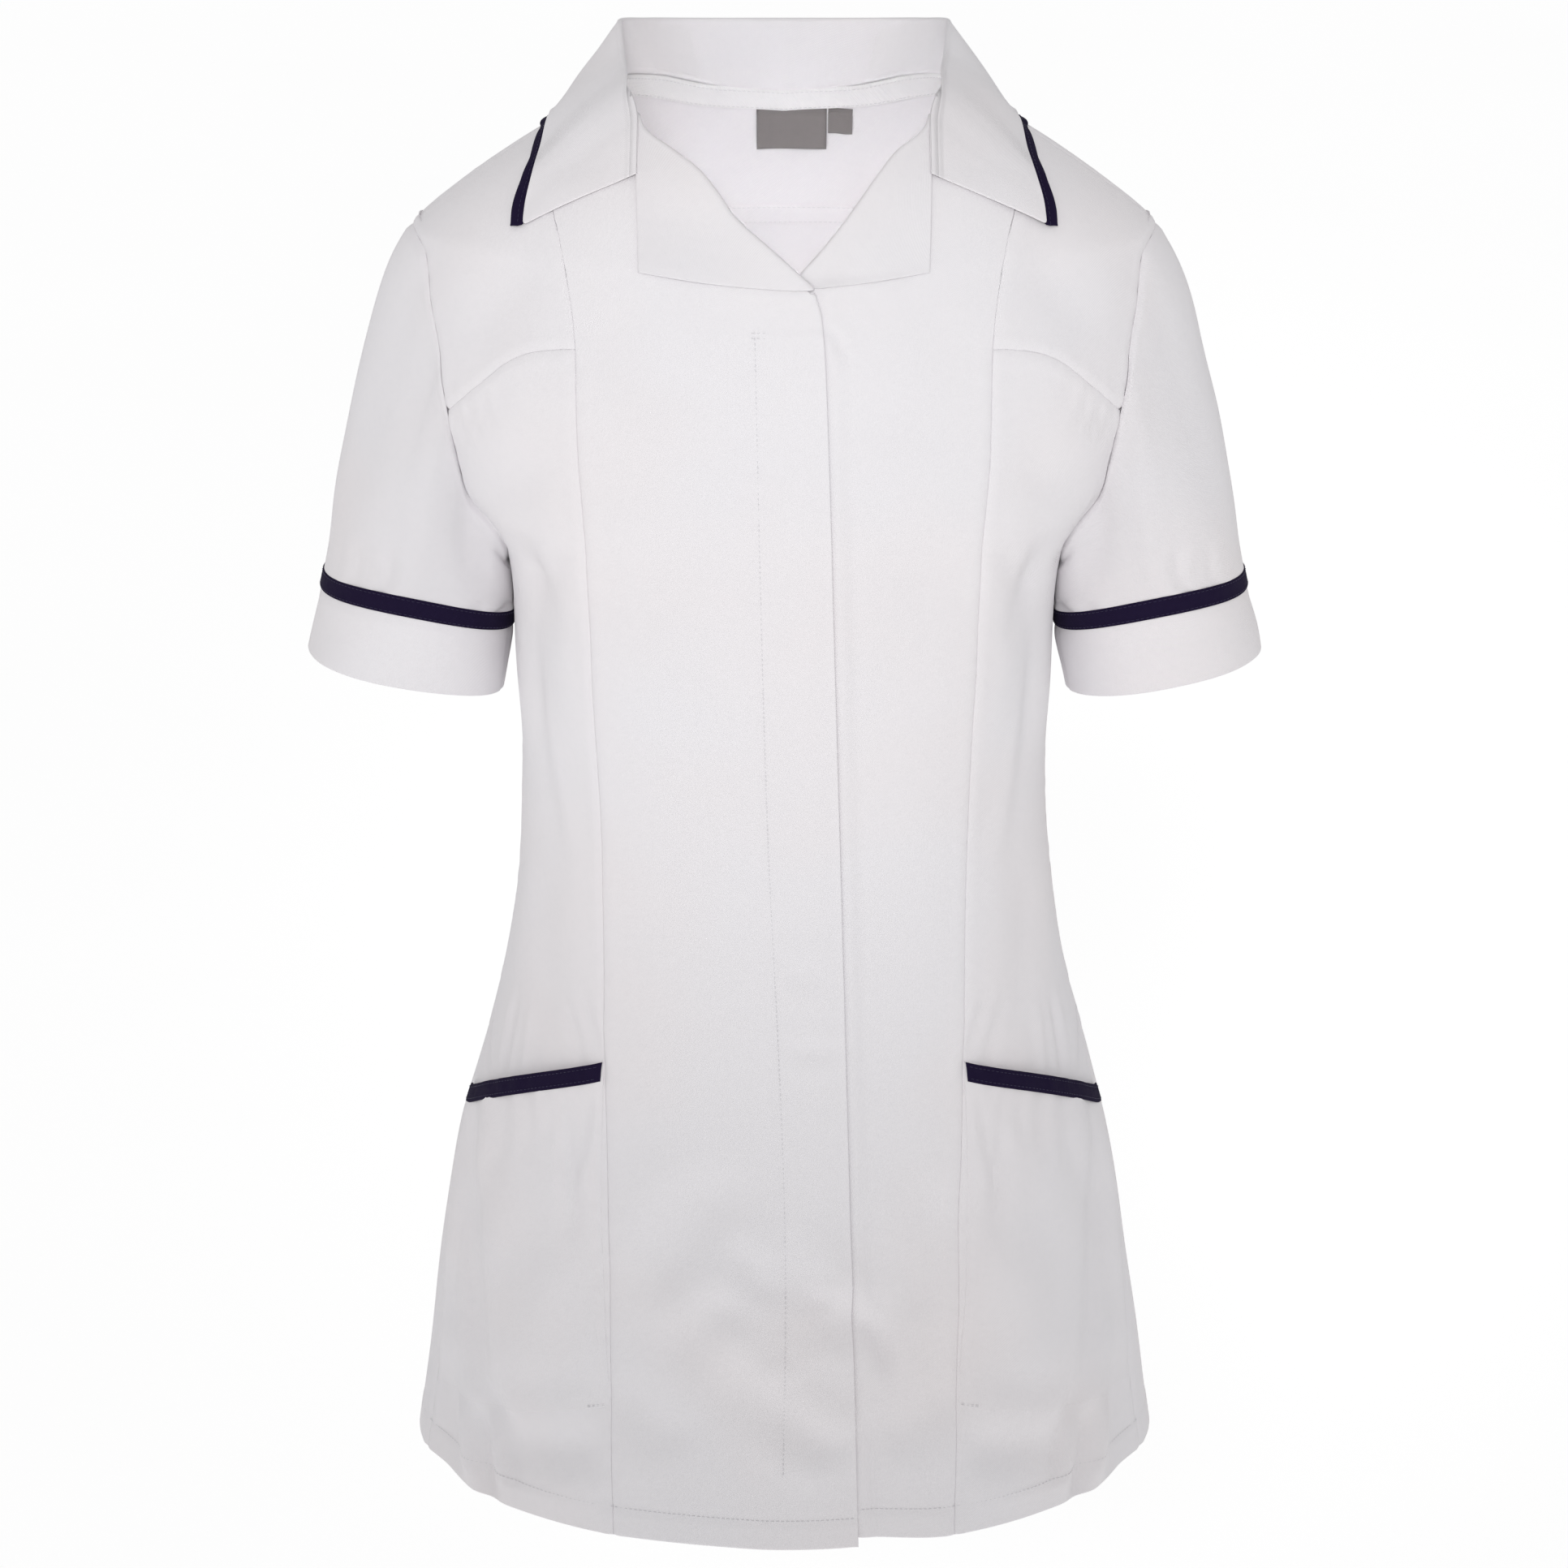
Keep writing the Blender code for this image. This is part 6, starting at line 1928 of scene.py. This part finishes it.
@dataclass
class Pocket:
    """A pocket between the princess seam and the side seam, with a navy trim along its mouth."""

    wardrobe: Wardrobe
    left: bool

    def line(self, table: Sequence[Across], p: Points) -> Points:
        """A line across the pocket, as turns and heights."""
        height = Curve(table, "height", "x")(p)
        inner = FORM.turn_at(PRINCESS_X(height), height) + POCKET_INSET
        outer = SIDE_SEAM_TURN(height) - POCKET_INSET
        return rows_of(inner + p * (outer - inner), height)

    def layer(self, near: Points) -> Points:
        """How far the pocket lies from the form, at each distance from its sides."""
        return LAYER * (0.45 + 0.55 * ease(near / 0.006))

    def creases(self, p: Points, q: Points) -> Points:
        """The small gathers under the trim, and the wide troughs of the pocket's cloth."""
        p, q = np.broadcast_arrays(p, q)
        places = rows_of(p * POCKET_WIDE, q * POCKET_DEEP)
        lift = np.zeros(p.shape)
        for row in POCKET_CREASES:
            start, end = np.array([row.across, row.down]), np.array([row.end_across, row.end_down])
            lift = lift + crease_lift(places, start, end, row.width, row.depth, POCKET_BOW)
        return lift + 0.0005 * ripple(places, 0.05, 37 + self.left)

    def build(self) -> None:
        """Makes the pocket, its trim and its stitches."""
        side = "left" if self.left else "right"
        p = shares(POCKET_WIDE, Edge.SEAM, Edge.SEAM, 0.0022)
        q = shares(POCKET_DEEP, Edge.CUT, Edge.SEAM, 0.0024)
        top, bottom = self.line(POCKET_TOP, p), self.line(POCKET_BOTTOM, p)
        grid = top[None] + q[:, None, None] * (bottom - top)[None]
        mouth = POCKET_EASE * np.sin(math.pi * p)[None] * (1 - q[:, None]) ** 1.5
        near = np.minimum(p, 1 - p)[None] * POCKET_WIDE
        low = (1 - q[:, None]) * POCKET_DEEP
        layer = self.layer(near) * (0.12 + 0.88 * ease(low / 0.030))
        out = layer + mouth + self.creases(p[None], q[:, None]) * ease(near / 0.01) * ease(low / 0.02)
        grid, out = on_side(grid, self.left), out if self.left else out[:, ::-1]
        turn, height = np.moveaxis(grid, -1, 0)
        face, normals = FORM.on(turn, height, out), FORM.normal(turn, height)
        edges = {"top": Edge.CUT, "bottom": Edge.CUT, "dip": POCKET_DIP, "seed": 71 + self.left}
        sheet = Sheet("pocket_" + side, face, normals, self.wardrobe.white, "white_cloth", **edges)
        row = Stitching("pocket_stitching_" + side, self.wardrobe.thread, "white_cloth")
        inner = slice(3, 10) if self.left else slice(-10, -3)
        for k in (-5, -4):
            line = FORM.on(turn[k, inner], height[k, inner], out[k, inner] + 0.0001)
            row.add(line, normals[k, inner])
        declare(sheet.build(), sheet, [row.build()])
        self.build_trim(side)

    def build_trim(self, side: str) -> None:
        """The navy trim along the mouth."""
        p = shares(0.12, Edge.FOLD, Edge.FOLD, 0.0020)
        q = shares(TRIM_WIDTH, Edge.FOLD, Edge.FOLD, 0.0012)
        top = self.line(POCKET_TOP, p)
        top[:, 0] += 0.010 * ease((p - 0.90) / 0.10)
        grid = top[None] - q[:, None, None] * [0, TRIM_WIDTH]
        mouth = POCKET_EASE * np.sin(math.pi * p)[None] * (1 - 0.06 * q[:, None])
        near = np.minimum(p, 1 - p)[None] * POCKET_WIDE
        layer = self.layer(near) + TRIM_LAYER
        crown = 0.0003 * np.sin(math.pi * q)[:, None] + 0.0001 * ripple(grid, 0.012, 43)
        out = layer + mouth + crown
        grid, out = on_side(grid, self.left), out if self.left else out[:, ::-1]
        turn, height = np.moveaxis(grid, -1, 0)
        edges = {**ALL_FOLDED, "thickness": POCKET_TRIM_CLOTH}
        face, normals = FORM.on(turn, height, out), FORM.normal(turn, height)
        sheet = Sheet("pocket_trim_" + side, face, normals, self.wardrobe.navy, "navy_cloth", **edges)
        row = Stitching("pocket_trim_stitching_" + side, self.wardrobe.navy_thread, "navy_cloth")
        row.add_rows(sheet, (4, -5), slice(3, -3))
        declare(sheet.build(), sheet, [row.build()])


class Patch(NamedTuple):
    """A label's place and size."""

    x: float
    width: float
    top: float
    depth: float


MAIN_LABEL = Patch(0.0038, 0.0350, -0.0354, 0.0205)
SIZE_TAB = Patch(0.0282, 0.0122, -0.0354, 0.0118)
TAPE_DEPTH = 0.0101
YOKE_TAPE_DEPTH = 0.0102
YOKE_TAPE_BELOW = 0.0035


@dataclass
class NeckInside:
    """What shows inside the back neck: the tape, the yoke's band and the blank labels."""

    wardrobe: Wardrobe

    def strip(
        self, name: str, turn: Points, height: Points, finish: Material, out: Points = -INSIDE - TAPE_CLOTH
    ) -> Sheet:
        """A strip on the inside of the back, with its face turned to the inside.

        Args:
            name: its node.
            turn: the turn of each column.
            height: the height of each point.
            finish: its cloth.
            out: how far each row is from the form.
        """
        grid_turn, grid_height = np.broadcast_arrays(turn[::-1][None], height[:, ::-1])
        normals = -FORM.normal(grid_turn, grid_height)
        face = FORM.on(grid_turn, grid_height, out)
        return Sheet(name, face, normals, finish, "white_cloth", thickness=TAPE_CLOTH, **ALL_FOLDED)

    def build(self) -> None:
        """Makes the tape, the band, the labels and their stitches."""
        thread = self.wardrobe.thread
        turn = np.linspace(1.182, 2.818, 150)
        top = back_neck_height(turn) - 0.0002
        q = shares(TAPE_DEPTH, Edge.FOLD, Edge.FOLD, 0.0012)
        height = top[None] - q[:, None] * TAPE_DEPTH
        sheet = self.strip("neck_tape", turn, height, self.wardrobe.tape)
        away = unit(-sheet.normals[0] * [1, 1, 0])
        lip = sheet.face[0] + np.array([0.0021, 0.0014, 0.0007])[:, None, None] * (0.24 * away + [0, 0, 1])
        sheet.face = np.concatenate([lip, sheet.face])
        sheet.normals = surface_normals(sheet.face)
        row = Stitching("neck_tape_stitching", thread, "white_cloth", length=0.0016)
        row.add_rows(sheet, (3, -4))
        declare(sheet.build(), sheet, [row.build()])
        start = float(armhole_line(BACK_STEPS_TO_JOINT, BACK_STEPS_TO_JOINT + 1, True)[0, 0]) + 0.05
        turn = np.linspace(start, 4 - start, 200)
        q = shares(YOKE_TAPE_DEPTH, Edge.FOLD, Edge.FOLD, 0.0010)
        height = YOKE_SEAM - YOKE_TAPE_BELOW + (1 - q[:, None]) * YOKE_TAPE_DEPTH + 0 * turn
        tucked = -0.0018 + 0.0010 * np.clip(1 - q[:, None] * YOKE_TAPE_DEPTH / 0.0018, 0, 1)
        sheet = self.strip("yoke_tape", turn, height, self.wardrobe.white, tucked)
        row = Stitching("yoke_band_stitching", thread, "white_cloth")
        row.add_rows(sheet, (3, -4))
        declare(sheet.build(), sheet, [row.build()])
        self.build_label("main_label", MAIN_LABEL, 0.0016)
        self.build_label("size_tab", SIZE_TAB, 0.0010)

    def build_label(self, name: str, size: Patch, swing: float) -> None:
        """A blank label that hangs from the tape, its lower edge standing a little away from the back.

        Args:
            name: the label's node.
            size: its place and size.
            swing: how far its lower edge stands away.
        """
        p, q = np.linspace(0, 1, 26), np.linspace(0, 1, 20)
        x = size.x + size.width / 2 - size.width * p
        height = size.top + 0.0022 - (size.depth + 0.0010) * q[:, None] + 0 * x
        turn = np.where(x < 0, 4, 0) + FORM.turn_at(x + 0 * height, height, True)
        down = q[:, None]
        out = -0.0013 - 0.0014 * ease((down - 0.06) / 0.1) - swing * down**1.5
        out = out - 0.0003 * np.sin(2 * math.pi * p)[None] * down
        face = FORM.on(turn[:, ::-1], height[:, ::-1], (out + 0 * height)[:, ::-1])
        normals = surface_normals(face)
        inward = -FORM.normal(turn[:, ::-1], height[:, ::-1])
        normals = normals * np.sign((normals * inward).sum(-1, keepdims=True))
        edges = {**TOP_TUCKED, "thickness": LABEL_CLOTH}
        sheet = Sheet(name, face, normals, self.wardrobe.label, "grey_label", **edges)
        declare(sheet.build(), sheet)


@dataclass(frozen=True)
class SoftLight:
    """A large soft lamp that points at the tunic's middle."""

    name: str
    place: tuple[float, float, float]
    target: tuple[float, float, float]
    size: float
    power: float
    spread: float = 180.0


@dataclass
class Studio:
    """The plain floor, the soft lights and the camera at the photograph's angle."""

    floor_height: float = -1.40
    floor_size: float = 60.0
    camera_place: tuple[float, float, float] = (0.0, -2.6, 0.57763)
    camera_pitch: float = 19.891
    lens: float = 126.19
    sky: float = 0.59
    floor_glow: float = 0.43
    lights: tuple[SoftLight, ...] = (
        SoftLight("front_light", (-0.3, -3.2, 1.25), (0.0, -0.1, -0.09), 0.8, 0.60, 14.0),
        SoftLight("inside_light", (0.0, -0.060, -0.150), (0.0, 0.08, -0.055), 0.10, 0.102, 150.0),
    )

    def floor(self) -> None:
        """A wide pale floor."""
        half = self.floor_size / 2
        corners = np.array([[-half, -half, 0], [half, -half, 0], [half, half, 0], [-half, half, 0]], float)
        corners[:, 2] = self.floor_height
        made = bpy.data.materials.new("pale_floor")
        made.use_nodes = True
        nodes = Nodes(made.node_tree)
        shader = made.node_tree.nodes["Principled BSDF"]
        place = nodes.add("TexCoord")
        noise = nodes.add("TexNoise", {"Vector": place.outputs["Object"], "Scale": 1.5, "Detail": 3.0})
        tint = nodes.add("MapRange", {"Value": noise.outputs["Fac"], "To Min": 0.93, "To Max": 0.95})
        colour = nodes.add("CombineColor", {0: tint.outputs[0], 1: tint.outputs[0], 2: tint.outputs[0]})
        nodes.link(colour.outputs[0], shader.inputs["Base Color"])
        shader.inputs["Roughness"].default_value = 0.95
        shader.inputs["Specular IOR Level"].default_value = 0.1
        shader.inputs["Emission Color"].default_value = (1, 1, 1, 1)
        shader.inputs["Emission Strength"].default_value = self.floor_glow
        floor = mesh_object("studio_floor", corners, np.array([[0, 1, 2, 3]]), None, made)

    def light(self) -> None:
        """The sky and the lamps."""
        world = bpy.data.worlds.new("studio_air")
        bpy.context.scene.world = world
        world.use_nodes = True
        background = world.node_tree.nodes["Background"]
        background.inputs["Color"].default_value = (1, 1, 1, 1)
        background.inputs["Strength"].default_value = self.sky
        for lamp in self.lights:
            data = bpy.data.lights.new(lamp.name, "AREA")
            data.shape = "DISK"
            data.size = lamp.size
            data.energy = lamp.power
            data.spread = math.radians(lamp.spread)
            item = bpy.data.objects.new(lamp.name, data)
            item.location = lamp.place
            bpy.context.scene.collection.objects.link(item)
            aim(item, lamp.target)

    def camera(self) -> None:
        """The camera, square on to the front and above it."""
        data = bpy.data.cameras.new("camera")
        data.lens = self.lens
        data.sensor_width = 36.0
        data.sensor_fit = "HORIZONTAL"
        item = bpy.data.objects.new("camera", data)
        item.location = self.camera_place
        item.rotation_euler = (math.radians(90 - self.camera_pitch), 0, 0)
        bpy.context.scene.collection.objects.link(item)
        bpy.context.scene.camera = item

    def build(self) -> None:
        """Sets up the whole studio."""
        scene = bpy.context.scene
        scene.view_settings.view_transform = "Standard"
        self.camera()
        self.floor()
        self.light()


def aim(item: Piece, target: tuple[float, float, float]) -> None:
    """Turns an object to point its -Z axis at a place."""
    x, y, z = (b - a for a, b in zip(item.location, target))
    item.rotation_euler = (math.atan2(math.hypot(x, y), -z), 0, math.atan2(x, -y) + math.pi)


def main() -> None:
    """Builds the studio and every piece of the tunic in order."""
    logging.basicConfig(level=logging.INFO, format="%(name)s %(message)s")
    Studio().build()
    wardrobe = Wardrobe()
    parts: list[tuple[str, Callable[[], None]]] = [
        ("body", Body(wardrobe).build),
        ("right revere", Revere(wardrobe, True).build),
        ("left revere", Revere(wardrobe, False).build),
        ("left sleeve", Sleeve(wardrobe, True).build),
        ("right sleeve", Sleeve(wardrobe, False).build),
        ("collar", Collar(wardrobe).build),
        ("left pocket", Pocket(wardrobe, True).build),
        ("right pocket", Pocket(wardrobe, False).build),
        ("neck inside", NeckInside(wardrobe).build),
    ]
    for name, build in parts:
        build()
        log.info("built %s", name)


if __name__ == "__main__":
    main()
